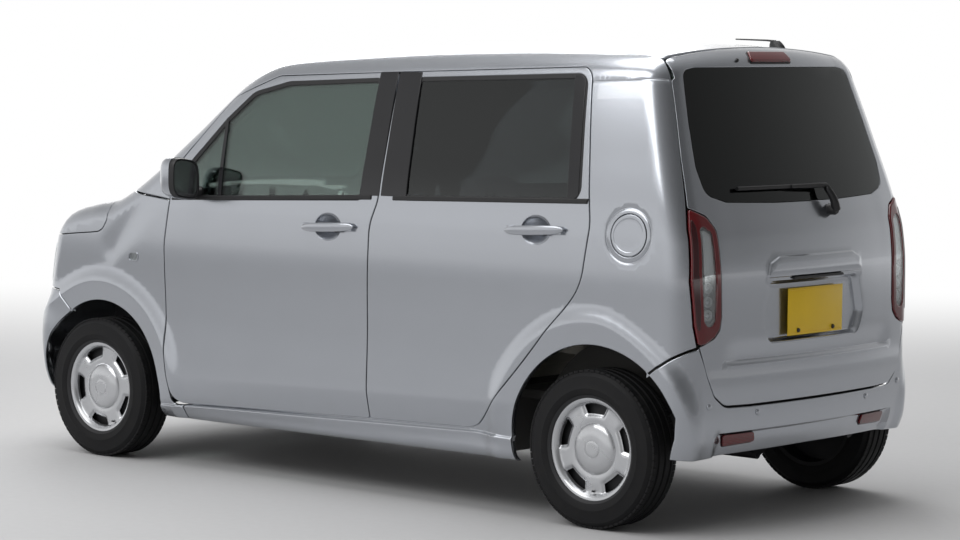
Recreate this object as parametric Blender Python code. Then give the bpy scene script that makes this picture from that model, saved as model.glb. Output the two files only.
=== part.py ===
"""A five-door kei car, a tall wagon, built as separate named pieces in Blender.

Units are metres. X points forward, Y to the car's left and Z up. The origin lies on the ground,
midway along the car. The outer form is one rounded body described by a few profiles. Each panel
is a stretch of that form's wall, cut out by its own outline.
"""
import math

import bmesh
import bpy
import numpy as np
from mathutils import Matrix, Vector

# Driving sizes
LENGTH = 3.395
HALF_LENGTH = LENGTH / 2
WHEELBASE = 2.520
TRACK = 1.305
AXLE_X = {"front": 1.260, "rear": 1.260 - WHEELBASE}
TYRE_RADIUS = 0.2785
TYRE_WIDTH = 0.155
TYRE_SIDES = 24
RIM_SEAT_RADIUS = 0.178
RIM_WIDTH = 0.135
HUB_FACE_Y = 0.640
SLOT_COUNT = 5
ARCH_RADIUS = {"front": 0.346, "rear": 0.360}
ARCH_LIP_WIDTH = 0.075
ARCH_LIP_OUT = 0.012
SHUT_GAP = 0.008
SEAT_GAP = 0.0003
OUTSIDE_GAP = 0.0005

# Wall thicknesses and depths below the outer form
SKIN_THIN = 0.004
GLASS_NEAR = 0.006
GLASS_FAR = 0.010
DOOR_STEP = 0.022
DOOR_INSET = 0.020
DOOR_THICKNESS = 0.068
LAMP_DEPTH = 0.060
SIDE_WALL = 0.124
ROOF_THICKNESS = 0.030
TAILGATE_THICKNESS = 0.050
BONNET_THICKNESS = 0.025
BULKHEAD_X = 0.915
LUGGAGE_FLOOR_Z = 0.430
DEPTHS = (
    -ARCH_LIP_OUT, -OUTSIDE_GAP, 0.0, 0.002, SKIN_THIN - 0.0005, SKIN_THIN, SKIN_THIN + SEAT_GAP,
    GLASS_NEAR, GLASS_FAR, 0.016, DOOR_STEP, BONNET_THICKNESS, ROOF_THICKNESS, 0.040,
    TAILGATE_THICKNESS, LAMP_DEPTH, DOOR_THICKNESS, SIDE_WALL,
)

# Outer form: half width against height, and how it narrows along the car
SIDE_PROFILE = (
    # z, half width
    (0.185, 0.640),
    (0.210, 0.690),
    (0.262, 0.716),
    (0.290, 0.706),
    (0.385, 0.722),
    (0.600, 0.717),
    (0.820, 0.722),
    (1.000, 0.716),
    (1.100, 0.706),
    (1.300, 0.667),
    (1.500, 0.621),
    (1.600, 0.592),
    (1.720, 0.545),
)
PLAN_PROFILE = (
    # x, share of the half width
    (-1.750, 0.925),
    (-1.450, 0.975),
    (-1.150, 0.998),
    (-0.700, 1.000),
    (0.700, 1.000),
    (1.000, 0.990),
    (1.260, 0.980),
    (1.500, 0.965),
    (1.750, 0.945),
)
TOP_PROFILE = (
    # x, height on the centre line, drop towards the side
    (-1.750, 1.600, 0.040),
    (-1.500, 1.650, 0.040),
    (-1.250, 1.668, 0.045),
    (-0.900, 1.675, 0.050),
    (-0.400, 1.666, 0.050),
    (0.000, 1.648, 0.050),
    (0.250, 1.632, 0.050),
    (0.380, 1.617, 0.050),
    (0.470, 1.590, 0.052),
    (0.800, 1.340, 0.058),
    (1.140, 1.083, 0.060),
    (1.220, 1.034, 0.058),
    (1.340, 0.992, 0.055),
    (1.480, 0.948, 0.055),
    (1.600, 0.900, 0.050),
    (1.680, 0.840, 0.040),
    (1.760, 0.720, 0.040),
)
REAR_PROFILE = (
    # z, x on the centre line
    (0.180, -1.600),
    (0.270, -1.670),
    (0.330, -1.690),
    (0.430, -1.6975),
    (0.650, -1.6965),
    (0.880, -1.6930),
    (1.000, -1.681),
    (1.100, -1.652),
    (1.350, -1.565),
    (1.580, -1.487),
    (1.720, -1.445),
)
FRONT_PROFILE = (
    # z, x on the centre line
    (0.180, 1.600),
    (0.260, 1.668),
    (0.400, 1.692),
    (0.520, 1.6975),
    (0.620, 1.690),
    (0.720, 1.672),
    (0.850, 1.645),
    (1.000, 1.610),
    (1.720, 1.480),
)
FRONT_BOW = 0.045
REAR_BOW = 0.045
BOW_HALF_WIDTH = 0.600
CORNER_RADIUS = {"front": 0.080, "rear": 0.085, "top": 0.060, "bottom": 0.015}

# Stations of the form's grid, and how far from an edge its last row stops
REACH = {"front": 0.15, "rear": 0.10, "top": 0.10}
STATIONS_X = (
    -1.545, -1.400, -1.150, -0.800, -0.400, 0.000, 0.300, 0.470, 0.800, 1.140,
    1.220, 1.340, 1.450, 1.540,
)
SHARES_Y = (-1.0, -0.7, -0.35, 0.0, 0.35, 0.7, 1.0)
LEVELS_Z = (0.210, 0.262, 0.290, 0.385, 0.600, 0.820, 1.000, 1.100, 1.300, 1.500)
FIXED_LEVEL_Z = 0.600
TOP_LEVEL_Z = 1.590
FORM_BOTTOM_Z = 0.190

# Side view outlines
B_LINE = (
    # x, z of the shut line between the side doors
    (-0.204, 0.285),
    (-0.203, 0.387),
    (-0.203, 0.734),
    (-0.206, 0.993),
    (-0.2365, 1.058),
    (-0.2470, 1.101),
    (-0.2540, 1.552),
)
FRONT_DOOR_EDGE = (
    # x, z, corner radius, from the roof down the pillar and round the sill
    (0.360, 1.530, 0.080),
    (0.585, 1.445, 0.080),
    (0.862, 1.150, 0.030),
    (0.862, 1.040, 0.000),
    (0.887, 0.866, 0.200),
    (0.872, 0.450, 0.200),
    (0.840, 0.248, 0.070),
)
REAR_DOOR_EDGE = (
    (-0.735, 0.297, 0.060),
    (-1.222, 0.850, 0.060),
    (-1.234, 1.050, 0.100),
    (-1.150, 1.590, 0.060),
)
FRONT_WINDOW = (
    (-0.155, 1.516, 0.010),
    (0.375, 1.496, 0.090),
    (0.555, 1.405, 0.060),
    (0.800, 1.140, 0.010),
    (0.780, 1.060, 0.010),
    (-0.145, 1.098, 0.010),
)
REAR_WINDOW = (
    (-0.368, 1.526, 0.012),
    (-1.120, 1.552, 0.030),
    (-1.176, 1.140, 0.030),
    (-0.378, 1.108, 0.012),
)
B_PILLAR = (
    (-0.176, 0.200),
    (-0.112, 0.200),
    (-0.112, 0.980),
    (-0.190, 1.120),
    (-0.190, 1.600),
    (-0.258, 1.600),
    (-0.258, 1.120),
    (-0.176, 1.000),
)
CABIN_SIDE = (
    # y, z of the cabin beside the window frames
    (0.200, 1.123),
    (0.657, 1.123),
    (0.621, 1.300),
    (0.575, 1.500),
    (0.532, 1.680),
    (0.200, 1.680),
)
REAR_BUMPER_ZONE = ((-1.800, 0.660), (-1.690, 0.650), (-1.380, 0.500), (-1.380, 0.100), (-1.800, 0.100))
FRONT_BUMPER_ZONE = (
    (1.300, 0.100),
    (1.800, 0.100),
    (1.800, 0.655),
    (1.520, 0.655),
    (1.440, 0.500),
    (1.300, 0.450),
)
FENDER_ZONE = (
    (0.870, 1.0447),
    (1.160, 1.0747),
    (1.750, 1.010),
    (1.750, 0.8533),
    (1.380, 0.8533),
    (1.380, 0.6553),
    (1.5197, 0.6553),
    (1.4397, 0.5003),
    (1.2997, 0.4503),
    (1.2997, 0.1000),
    (0.870, 0.1000),
)
SIDE_ZONE = (
    (-1.800, 0.100),
    (-1.800, 1.800),
    (0.440, 1.800),
    (1.150, 1.250),
    (1.150, 0.980),
    (0.950, 0.980),
    (0.950, 0.100),
)
# Rear view outlines, left half
TAILGATE_HALF = (
    # y, z, corner radius
    (0.530, 1.720, 0.000),
    (0.530, 1.634, 0.000),
    (0.632, 1.117, 0.000),
    (0.562, 1.100, 0.010),
    (0.562, 0.980, 0.000),
    (0.535, 0.740, 0.020),
    (0.660, 0.656, 0.000),
    (0.605, 0.462, 0.040),
)
TAIL_LAMP = (
    (0.600, 1.117, 0.000),
    (0.530, 1.110, 0.000),
    (0.520, 0.740, 0.000),
    (0.660, 0.6603, 0.000),
    (0.760, 0.6603, 0.000),
    (0.760, 1.117, 0.000),
)
BACK_GLASS_HALF = (
    (0.484, 1.580, 0.050),
    (0.530, 1.130, 0.060),
)
LAMP_FRONT_X = -1.612
REAR_BUMPER_FOOT_Z = 0.272
TAILGATE_FRONT_X = -1.405
ROOF_HALF_WIDTH = 0.528
ROOF_FRONT_X = 0.440
SCREEN_HALF = (
    # x, half width of the windscreen in plan
    (0.440, 0.545),
    (1.130, 0.605),
)
BONNET_REAR_X = 1.225
BONNET_HALF_WIDTH = 0.600
BONNET_FRONT_Z = 0.853
FUEL_LID = (-1.400, 1.020, 0.092)

# Joint axes
FRONT_DOOR_PIN = (0.825, 0.702)
REAR_DOOR_PIN = (-0.256, 0.7065)
DOOR_HINGE_Z = {"front": (0.420, 0.900), "rear": (0.440, 0.860)}
DOOR_POCKET = {"front": 0.070, "rear": 0.077}
PIN_RADIUS = 0.007
KNUCKLE_HEIGHT = 0.028
TAILGATE_PIN = (-1.365, 1.630)
TAILGATE_HINGE_Y = 0.300
BONNET_PIN = (1.210, 0.965)
COWL_FRONT_X = 1.160
BONNET_HINGE_Y = 0.540
KINGPIN_Y = 0.535
STRUT_RADIUS = 0.022
STEERING_WHEEL = (0.345, -0.330, 0.960)
STEERING_COLUMN_FOOT = (0.640, -0.330, 0.800)
STEERING_WHEEL_RADIUS = 0.185
FUEL_PIN = (-1.312, 0.700)

parts = bpy.data.collections.new("kei_car")
cutters = bpy.data.collections.new("cutters")


def clear_scene():
    for obj in list(bpy.data.objects):
        bpy.data.objects.remove(obj)
    bpy.context.scene.collection.children.link(parts)
    bpy.context.scene.collection.children.link(cutters)
    cutters.hide_render = True


# Profiles and the outer form


def smooth_profile(rows):
    """A monotone cubic curve through rows of (position, value)."""
    x = np.array([r[0] for r in rows])
    y = np.array([r[1] for r in rows])
    step = np.diff(x)
    slope = np.diff(y) / step
    tangent = np.zeros(len(x))
    tangent[0], tangent[-1] = slope[0], slope[-1]
    same = slope[1:] * slope[:-1] > 0
    w1, w2 = 2 * step[1:] + step[:-1], step[1:] + 2 * step[:-1]
    safe = np.where(same, slope[1:] * slope[:-1], 1.0)
    tangent[1:-1] = np.where(same, (w1 + w2) * safe / (w1 * slope[1:] + w2 * slope[:-1] + 1e-12), 0)

    def value(at):
        at = np.clip(at, x[0], x[-1])
        i = np.clip(np.searchsorted(x, at) - 1, 0, len(x) - 2)
        h = step[i]
        t = (at - x[i]) / h
        return (
            (2 * t**3 - 3 * t**2 + 1) * y[i]
            + (t**3 - 2 * t**2 + t) * h * tangent[i]
            + (3 * t**2 - 2 * t**3) * y[i + 1]
            + (t**3 - t**2) * h * tangent[i + 1]
        )

    return value


half_width_at = smooth_profile(SIDE_PROFILE)
plan_share_at = smooth_profile(PLAN_PROFILE)
top_at = smooth_profile([(x, z) for x, z, _ in TOP_PROFILE])
crown_at = smooth_profile([(x, drop) for x, _, drop in TOP_PROFILE])
rear_at = smooth_profile(REAR_PROFILE)
front_at = smooth_profile(FRONT_PROFILE)


def round_join(a, b, radius):
    """The larger of two distances, with the corner between them rounded."""
    both = (a > -radius) & (b > -radius)
    return np.where(both, np.hypot(a + radius, b + radius) - radius, np.maximum(a, b))


def outside(x, y, z):
    """Distance outside the outer form, negative inside it."""
    bow = (y / BOW_HALF_WIDTH) ** 2
    side = np.abs(y) - half_width_at(z) * plan_share_at(x)
    slope = (top_at(x + 0.01) - top_at(x - 0.01)) / 0.02
    top = (z - top_at(x) + crown_at(x) * bow) / np.sqrt(1 + slope**2)
    front = x - front_at(z) + FRONT_BOW * bow
    rear = rear_at(z) + REAR_BOW * bow - x
    ends = round_join(side, rear, CORNER_RADIUS["rear"])
    ends = round_join(ends, front, CORNER_RADIUS["front"])
    upper = round_join(ends, top, CORNER_RADIUS["top"])
    return round_join(upper, FORM_BOTTOM_Z - z, CORNER_RADIUS["bottom"])


def cast(starts, directions, inset):
    """Where rays from inside meet the form, moved in by inset."""
    starts = np.array(starts, float)
    directions = np.array(directions, float)
    directions /= np.maximum(np.linalg.norm(directions, axis=1, keepdims=True), 1e-9)
    low, high = np.zeros(len(starts)), np.full(len(starts), 3.0)
    for _ in range(40):
        middle = (low + high) / 2
        x, y, z = (starts + directions * middle[:, None]).T
        inside = outside(x, y, z) + inset < 0
        low, high = np.where(inside, middle, low), np.where(inside, high, middle)
    return starts + directions * low[:, None]


def form_mesh(inset):
    """The closed outer form, moved in by inset, as a grid of rays cast outwards."""
    bottom = FORM_BOTTOM_Z + inset
    last = (len(STATIONS_X) + 1, len(SHARES_Y) + 1, len(LEVELS_Z) + 1)

    def station(i, z):
        """Position of column i along X at height z, scaled near the ends to the form's own end."""
        x = STATIONS_X[min(max(i, 1), last[0] - 1) - 1]
        if x < -1.0:
            end = float(rear_at(z)) + inset + REACH["rear"]
            return -1.0 + (x + 1.0) / (STATIONS_X[0] + 1.0) * (end + 1.0)
        if x > 1.0:
            end = float(front_at(min(z, 0.82))) - inset - REACH["front"]
            return 1.0 + (x - 1.0) / (STATIONS_X[-1] - 1.0) * (end - 1.0)
        return x

    def rib(k, x):
        """Position of rib k across Y at x."""
        half = float(half_width_at(edge_height(x)) * plan_share_at(x)) - inset - 0.05
        return SHARES_Y[min(max(k, 1), last[1] - 1) - 1] * min(half, 0.50 - 0.6 * max(inset, 0.0))

    def edge_height(x):
        return float(top_at(x) - crown_at(x)) - inset

    def level(j, x):
        """Height of grid level j, squeezed under the top surface at x."""
        z = LEVELS_Z[j - 1]
        if z <= FIXED_LEVEL_Z:
            return max(z, bottom + 0.004 * j)
        share = (z - FIXED_LEVEL_Z) / (TOP_LEVEL_Z - FIXED_LEVEL_Z)
        margin = 0.045 + 0.10 * min(max((x - 1.10) / 0.30, 0.0), 1.0)
        return FIXED_LEVEL_Z + share * (edge_height(x) - margin - FIXED_LEVEL_Z)

    def ray(index):
        """Start and direction of the ray for a grid point."""
        out = [(n == end) - (n == 0) for n, end in zip(index, last)]
        x = station(index[0], 1.6 if out[2] > 0 and index[0] < 4 else 0.5)
        z = level(min(max(index[2], 1), last[2] - 1), x)
        if out[2] == 0:
            x = station(index[0], z)
        y = rib(index[1], x)
        if out[2] < 0:
            z, out[2] = bottom + 0.02, 0
            x = station(index[0], z)
        if out[2] > 0:
            z = edge_height(x) - REACH["top"] if out[0] or out[1] else bottom + 0.1
            if out[1]:
                y = float(half_width_at(z + REACH["top"]) * plan_share_at(x)) - inset - REACH["top"]
                y = math.copysign(y, out[1])
            return (x, y, z), out
        if out[0] and out[1]:
            y = float(half_width_at(z) * plan_share_at(x)) - inset - REACH["front" if out[0] > 0 else "rear"]
            y = math.copysign(y, out[1])
            return (x - 0.04 * out[0], y, z), out
        if out[0]:
            return (0.0, y, z), out
        return (x, 0.0, z), out

    shell = set()
    faces = []
    for axis in range(3):
        a, b = [n for n in range(3) if n != axis]
        for end in (0, last[axis]):
            for u in range(last[a]):
                for v in range(last[b]):
                    corners = []
                    for du, dv in ((0, 0), (1, 0), (1, 1), (0, 1)):
                        index = [0, 0, 0]
                        index[axis], index[a], index[b] = end, u + du, v + dv
                        corners.append(tuple(index))
                    shell.update(corners)
                    faces.append(corners)
    shell = sorted(shell)
    rays = [ray(index) for index in shell]
    hits = cast([r[0] for r in rays], [r[1] for r in rays], inset)
    bm = bmesh.new()
    grid = {}
    for index, hit, (_, out) in zip(shell, hits, rays):
        if index[2] == 0:
            inner = 0 < index[0] < last[0] and 0 < index[1] < last[1]
            if inner:
                x = station(index[0], bottom)
                hit = (x, rib(index[1], x), bottom)
            else:
                hit = (hit[0] - 0.004 * out[0], hit[1] - 0.004 * out[1], bottom)
        grid[index] = bm.verts.new(hit)
    for corners in faces:
        bm.faces.new([grid[c] for c in corners])
    bmesh.ops.triangulate(bm, faces=bm.faces[:])
    bmesh.ops.recalc_face_normals(bm, faces=bm.faces)
    return mesh_object("form", bm, cutters)


# Small modelling helpers


def mesh_object(name, bm, collection):
    mesh = bpy.data.meshes.new(name)
    bm.to_mesh(mesh)
    bm.free()
    obj = bpy.data.objects.new(name, mesh)
    collection.objects.link(obj)
    if collection is cutters:
        obj.hide_render = True
        obj.display_type = "WIRE"
    return obj


def rounded(outline, steps=4):
    """Points of a closed outline whose corners (u, v, radius) are turned into arcs."""
    made = []
    count = len(outline)
    for i, (u, v, radius) in enumerate(outline):
        here = Vector((u, v))
        before = Vector(outline[i - 1][:2]) - here
        after = Vector(outline[(i + 1) % count][:2]) - here
        if radius <= 0:
            made.append(here)
            continue
        half = before.angle(after) / 2
        back = min(radius / math.tan(half), before.length * 0.48, after.length * 0.48)
        radius = back * math.tan(half)
        centre = here + (before.normalized() + after.normalized()).normalized() * (radius / math.sin(half))
        start = here + before.normalized() * back - centre
        sweep = math.pi - 2 * half
        turn = math.copysign(sweep, start.x * (here - centre).y - start.y * (here - centre).x)
        for n in range(steps + 1):
            angle = turn * n / steps
            made.append(centre + Matrix.Rotation(angle, 2) @ start)
    return made


def grown(points, amount):
    """A closed outline moved outwards by amount."""
    area = sum(p.x * q.y - q.x * p.y for p, q in zip(points, points[1:] + points[:1]))
    side = 1 if area > 0 else -1
    moved = []
    for i, here in enumerate(points):
        into = (here - points[i - 1]).normalized()
        onward = (points[(i + 1) % len(points)] - here).normalized()
        normal = Vector((into.y + onward.y, -into.x - onward.x))
        normal.normalize()
        reach = max(0.4, normal.dot(Vector((into.y, -into.x))))
        moved.append(here + normal * (side * amount / reach))
    return moved


def prism(name, points, axis, low, high):
    """A closed outline extruded along an axis. The outline's plane is XZ for Y, YZ for X, XY for Z."""
    place = {
        "X": lambda p, d: (d, p.x, p.y),
        "Y": lambda p, d: (p.x, d, p.y),
        "Z": lambda p, d: (p.x, p.y, d),
    }[axis]
    bm = bmesh.new()
    face = bm.faces.new([bm.verts.new(place(p, low)) for p in points])
    made = bmesh.ops.extrude_face_region(bm, geom=[face])["geom"]
    shift = Vector(place(Vector((0, 0)), high - low))
    bmesh.ops.translate(bm, vec=shift, verts=[v for v in made if isinstance(v, bmesh.types.BMVert)])
    bmesh.ops.recalc_face_normals(bm, faces=bm.faces)
    return mesh_object(name, bm, cutters)


def box(name, low, high, bevel=0.0, collection=None):
    bm = bmesh.new()
    size = Vector(high) - Vector(low)
    centre = (Vector(high) + Vector(low)) / 2
    matrix = Matrix.Translation(centre) @ Matrix.Diagonal((*size, 1))
    bmesh.ops.create_cube(bm, size=1, matrix=matrix)
    if bevel:
        bmesh.ops.bevel(bm, geom=bm.edges[:], offset=bevel, segments=1, affect="EDGES")
    return mesh_object(name, bm, collection or cutters)


def rod(name, start, end, radius, sides=12, end_radius=None, collection=None):
    """A cylinder or cone between two points."""
    start, end = Vector(start), Vector(end)
    bm = bmesh.new()
    turn = (end - start).to_track_quat("Z", "Y").to_matrix().to_4x4()
    bmesh.ops.create_cone(
        bm,
        cap_ends=True,
        segments=sides,
        radius1=radius,
        radius2=radius if end_radius is None else end_radius,
        depth=(end - start).length,
        matrix=Matrix.Translation((start + end) / 2) @ turn,
    )
    return mesh_object(name, bm, collection or cutters)


def turned(name, profile, centre, outward, sides, collection=None):
    """A profile of (radius, distance outward) turned about a line along Y through centre."""
    bm = bmesh.new()
    rings = []
    for radius, along in profile:
        y = centre[1] + outward * along
        if radius == 0:
            rings.append([bm.verts.new((centre[0], y, centre[2]))])
            continue
        ring = []
        for n in range(sides):
            angle = 2 * math.pi * (n + 0.5) / sides
            ring.append(bm.verts.new((
                centre[0] + radius * math.sin(angle), y, centre[2] - radius * math.cos(angle)
            )))
        rings.append(ring)
    for near, far in zip(rings, rings[1:] + rings[:1]):
        if len(near) == 1 and len(far) == 1:
            continue
        for n in range(sides):
            m = (n + 1) % sides
            corners = [near[n % len(near)], near[m % len(near)], far[m % len(far)], far[n % len(far)]]
            unique = [c for c, before in zip(corners, corners[-1:] + corners[:-1]) if c is not before]
            bm.faces.new(unique)
    bmesh.ops.recalc_face_normals(bm, faces=bm.faces)
    return mesh_object(name, bm, collection or cutters)


def combine(obj, other, operation):
    """Applies a Boolean of obj with other to obj's own mesh."""
    modifier = obj.modifiers.new(operation.lower(), "BOOLEAN")
    modifier.operation = operation
    modifier.object = other
    bpy.context.view_layer.update()
    graph = bpy.context.evaluated_depsgraph_get()
    made = bpy.data.meshes.new_from_object(obj.evaluated_get(graph))
    obj.modifiers.clear()
    bm = bmesh.new()
    bm.from_mesh(made)
    bmesh.ops.remove_doubles(bm, verts=bm.verts, dist=2e-5)
    bmesh.ops.dissolve_degenerate(bm, dist=2e-5, edges=bm.edges)
    bm.to_mesh(made)
    bm.free()
    old = obj.data
    obj.data = made
    bpy.data.meshes.remove(old)
    return obj


def join(obj, *others):
    for other in others:
        combine(obj, other, "UNION")
    return obj


def cut(obj, *others):
    for other in others:
        combine(obj, other, "DIFFERENCE")
    return obj


def common(obj, *others):
    for other in others:
        combine(obj, other, "INTERSECT")
    return obj


def copy_of(obj, name):
    twin = bpy.data.objects.new(name, obj.data.copy())
    cutters.objects.link(twin)
    twin.hide_render = True
    twin.display_type = "WIRE"
    return twin


def mirrored(obj, name):
    """A copy of a left piece on the right side."""
    bm = bmesh.new()
    bm.from_mesh(obj.data)
    bmesh.ops.scale(bm, vec=(1, -1, 1), verts=bm.verts)
    bmesh.ops.reverse_faces(bm, faces=bm.faces)
    return mesh_object(name, bm, cutters)


def finish(obj, name, look):
    """Names a piece, gives it its material and shows it."""
    for holder in list(obj.users_collection):
        holder.objects.unlink(obj)
    parts.objects.link(obj)
    obj.name = name
    obj.hide_render = False
    obj.display_type = "TEXTURED"
    bm = bmesh.new()
    bm.from_mesh(obj.data)
    bmesh.ops.dissolve_degenerate(bm, dist=1e-5, edges=bm.edges)
    bm.to_mesh(obj.data)
    bm.free()
    obj.data.materials.clear()
    obj.data.materials.append(look)
    obj.data.polygons.foreach_set("use_smooth", [True] * len(obj.data.polygons))
    obj.data.set_sharp_from_angle(angle=math.radians(30))
    return obj


LOOKS = {
    # name: base colour, metallic, roughness, alpha
    "silver_paint": ((0.46, 0.48, 0.51), 0.7, 0.30, 1.0),
    "black_plastic": ((0.02, 0.02, 0.022), 0.0, 0.55, 1.0),
    "tyre_rubber": ((0.018, 0.018, 0.02), 0.0, 0.80, 1.0),
    "wheel_silver": ((0.62, 0.63, 0.65), 0.8, 0.35, 1.0),
    "dark_metal": ((0.05, 0.05, 0.055), 0.6, 0.60, 1.0),
    "clear_glass": ((0.35, 0.42, 0.38), 0.0, 0.05, 0.35),
    "privacy_glass": ((0.03, 0.035, 0.04), 0.0, 0.05, 0.60),
    "red_lens": ((0.35, 0.01, 0.02), 0.0, 0.12, 1.0),
    "clear_lens": ((0.75, 0.77, 0.80), 0.0, 0.08, 1.0),
    "seat_fabric": ((0.42, 0.40, 0.35), 0.0, 0.90, 1.0),
    "interior_plastic": ((0.12, 0.12, 0.12), 0.0, 0.70, 1.0),
}


def make_looks():
    made = {}
    for name, (colour, metallic, roughness, alpha) in LOOKS.items():
        look = bpy.data.materials.new(name)
        look.use_nodes = True
        shader = look.node_tree.nodes["Principled BSDF"]
        shader.inputs["Base Color"].default_value = (*colour, 1)
        shader.inputs["Metallic"].default_value = metallic
        shader.inputs["Roughness"].default_value = roughness
        shader.inputs["Alpha"].default_value = alpha
        made[name] = look
    return made


# Outlines worked out from the tables


def moved_out(rows, amount):
    """Outline rows (u, v, radius) moved outwards by amount, before their corners are rounded."""
    points = grown([Vector(row[:2]) for row in rows], amount)
    return [(p.x, p.y, max(row[2] + amount, 0.006) if row[2] else 0.0) for p, row in zip(points, rows)]


def door_rows(end):
    """The outline rows of the front or rear door, clear of the other door by the shut gap."""
    shift = SHUT_GAP / 2 if end == "front" else -SHUT_GAP / 2
    line = [(x + shift, z, 0.0) for x, z in B_LINE]
    if end == "front":
        return line + list(FRONT_DOOR_EDGE)
    return line[::-1] + list(REAR_DOOR_EDGE)


def corners(rows):
    """Outline rows without corner radii as points."""
    return [Vector(row[:2]) for row in rows]


def both_halves(half, steps=4):
    """A closed outline from its left half, given from top to bottom."""
    return rounded(list(half) + [(-u, v, r) for u, v, r in reversed(half)], steps)


def tailgate_cutter(amount, low, high):
    rows = list(TAILGATE_HALF) + [(-u, v, r) for u, v, r in reversed(TAILGATE_HALF)]
    return prism("tailgate_zone", rounded(moved_out(rows, amount)), "X", low, high)


def circle(centre, radius, sides, start=0.0, sweep=2 * math.pi):
    count = sides if sweep == 2 * math.pi else sides + 1
    return [
        Vector((
            centre[0] + radius * math.cos(start + sweep * n / sides),
            centre[1] + radius * math.sin(start + sweep * n / sides),
        ))
        for n in range(count)
    ]


AXLE_Z = TYRE_RADIUS * math.cos(math.pi / TYRE_SIDES)


def arch_disc(end, low, high):
    centre = (AXLE_X[end], AXLE_Z)
    return prism("arch", circle(centre, ARCH_RADIUS[end], 28), "Y", low, high)


def lipped_form(form):
    """The outer form with a raised band round each wheel arch."""
    body = copy_of(form[0.0], "lipped")
    for end in ("front", "rear"):
        outer = circle((AXLE_X[end], AXLE_Z), ARCH_RADIUS[end] + ARCH_LIP_WIDTH, 24)
        band = prism("lip", outer, "Y", 0.5, 1.0)
        common(band, form[-ARCH_LIP_OUT])
        join(body, band, mirrored(band, "lip"))
    return body


def zone(rows, low, high, axis="Y"):
    return prism("zone", corners(rows), axis, low, high)


def wall(form, near, far, *limits):
    """The stretch of wall between two depths of the form, inside the given limits."""
    piece = copy_of(form[near], "wall")
    for limit in limits:
        common(piece, limit)
    if far is not None:
        cut(piece, form[far])
    return piece


# Body


def door_way(form):
    """The space cut through the left side for both doors, round the middle pillar and hinge plates."""
    way = prism("way", rounded(moved_out(door_rows("front"), SHUT_GAP - DOOR_INSET)), "Y", 0.3, 1.0)
    join(way, prism("way", rounded(moved_out(door_rows("rear"), SHUT_GAP - DOOR_INSET)), "Y", 0.299, 0.999))
    middle = ((-0.250, 0.304), (-0.140, 0.304), (-0.140, 1.500), (-0.290, 1.500), (-0.290, 1.080))
    join(way, prism("way", corners(middle), "Y", 0.301, 1.001))
    cut(way, prism("pillar", corners(B_PILLAR), "Y", 0.2, 1.1))
    for (x, y), end in ((FRONT_DOOR_PIN, "front"), (REAR_DOOR_PIN, "rear")):
        low, high = (x - 0.020, x + 0.125) if end == "front" else (x - 0.024, x + 0.100)
        cut(way, box("plate", (low, 0.2, 0.250), (high, y - DOOR_POCKET[end] - 0.011, 1.110)))
    return way


def make_body_side(form):
    """Pillars, roof rail, sill and rear quarter of the left side in one piece."""
    side = wall(form, "lipped", None, zone(SIDE_ZONE, ROOF_HALF_WIDTH + SEAT_GAP, 1.0))
    cut(side, form[SIDE_WALL])
    house = circle((AXLE_X["rear"], AXLE_Z), ARCH_RADIUS["rear"] + 0.012, 18, 0.15, math.pi - 0.30)
    join(side, prism("house", house, "Y", ROOF_HALF_WIDTH + 2 * SEAT_GAP, 0.650))
    screen = (
        (ROOF_FRONT_X, 0.40),
        (ROOF_FRONT_X, SCREEN_HALF[0][1] + SEAT_GAP),
        (SCREEN_HALF[1][0], SCREEN_HALF[1][1] + SEAT_GAP),
        (1.30, SCREEN_HALF[1][1] + SEAT_GAP),
        (1.30, 0.40),
    )
    cut(side, prism("screen", corners(screen), "Z", 0.8, 2.0))
    behind_fender = zone(FENDER_ZONE, 0.4, 1.0)
    cut(behind_fender, form[SKIN_THIN + SEAT_GAP])
    cut(side, behind_fender)
    for end in ("front", "rear"):
        step = prism("step", rounded(moved_out(door_rows(end), SHUT_GAP)), "Y", 0.4, 1.0)
        cut(step, form[DOOR_STEP])
        cut(side, step)
    cut(side, door_way(form))
    for (x, y), end in ((FRONT_DOOR_PIN, "front"), (REAR_DOOR_PIN, "rear")):
        cut(side, rod("pocket", (x, y, 0.258), (x, y, 1.13), DOOR_POCKET[end], 20))
        for z in DOOR_HINGE_Z[end]:
            top = z + KNUCKLE_HEIGHT
            arm = box("arm", (x - PIN_RADIUS * 0.8, 0.600, z + 0.0005), (x + PIN_RADIUS * 0.8, y, top - 0.0005))
            join(arm, rod("pin", (x, y, z), (x, y, top), PIN_RADIUS))
            join(side, arm)
    cut(side, arch_disc("rear", 0.3, 1.0), arch_disc("front", 0.3, 1.0))
    cut(side, prism("bumper", grown(corners(REAR_BUMPER_ZONE), SEAT_GAP), "Y", 0.3, 1.0))
    cut(side, tailgate_cutter(SHUT_GAP, -1.80, TAILGATE_FRONT_X + SHUT_GAP))
    cut(side, prism("lamp", grown(corners(TAIL_LAMP), SEAT_GAP), "X", -1.80, LAMP_FRONT_X + SEAT_GAP))
    return side


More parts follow.
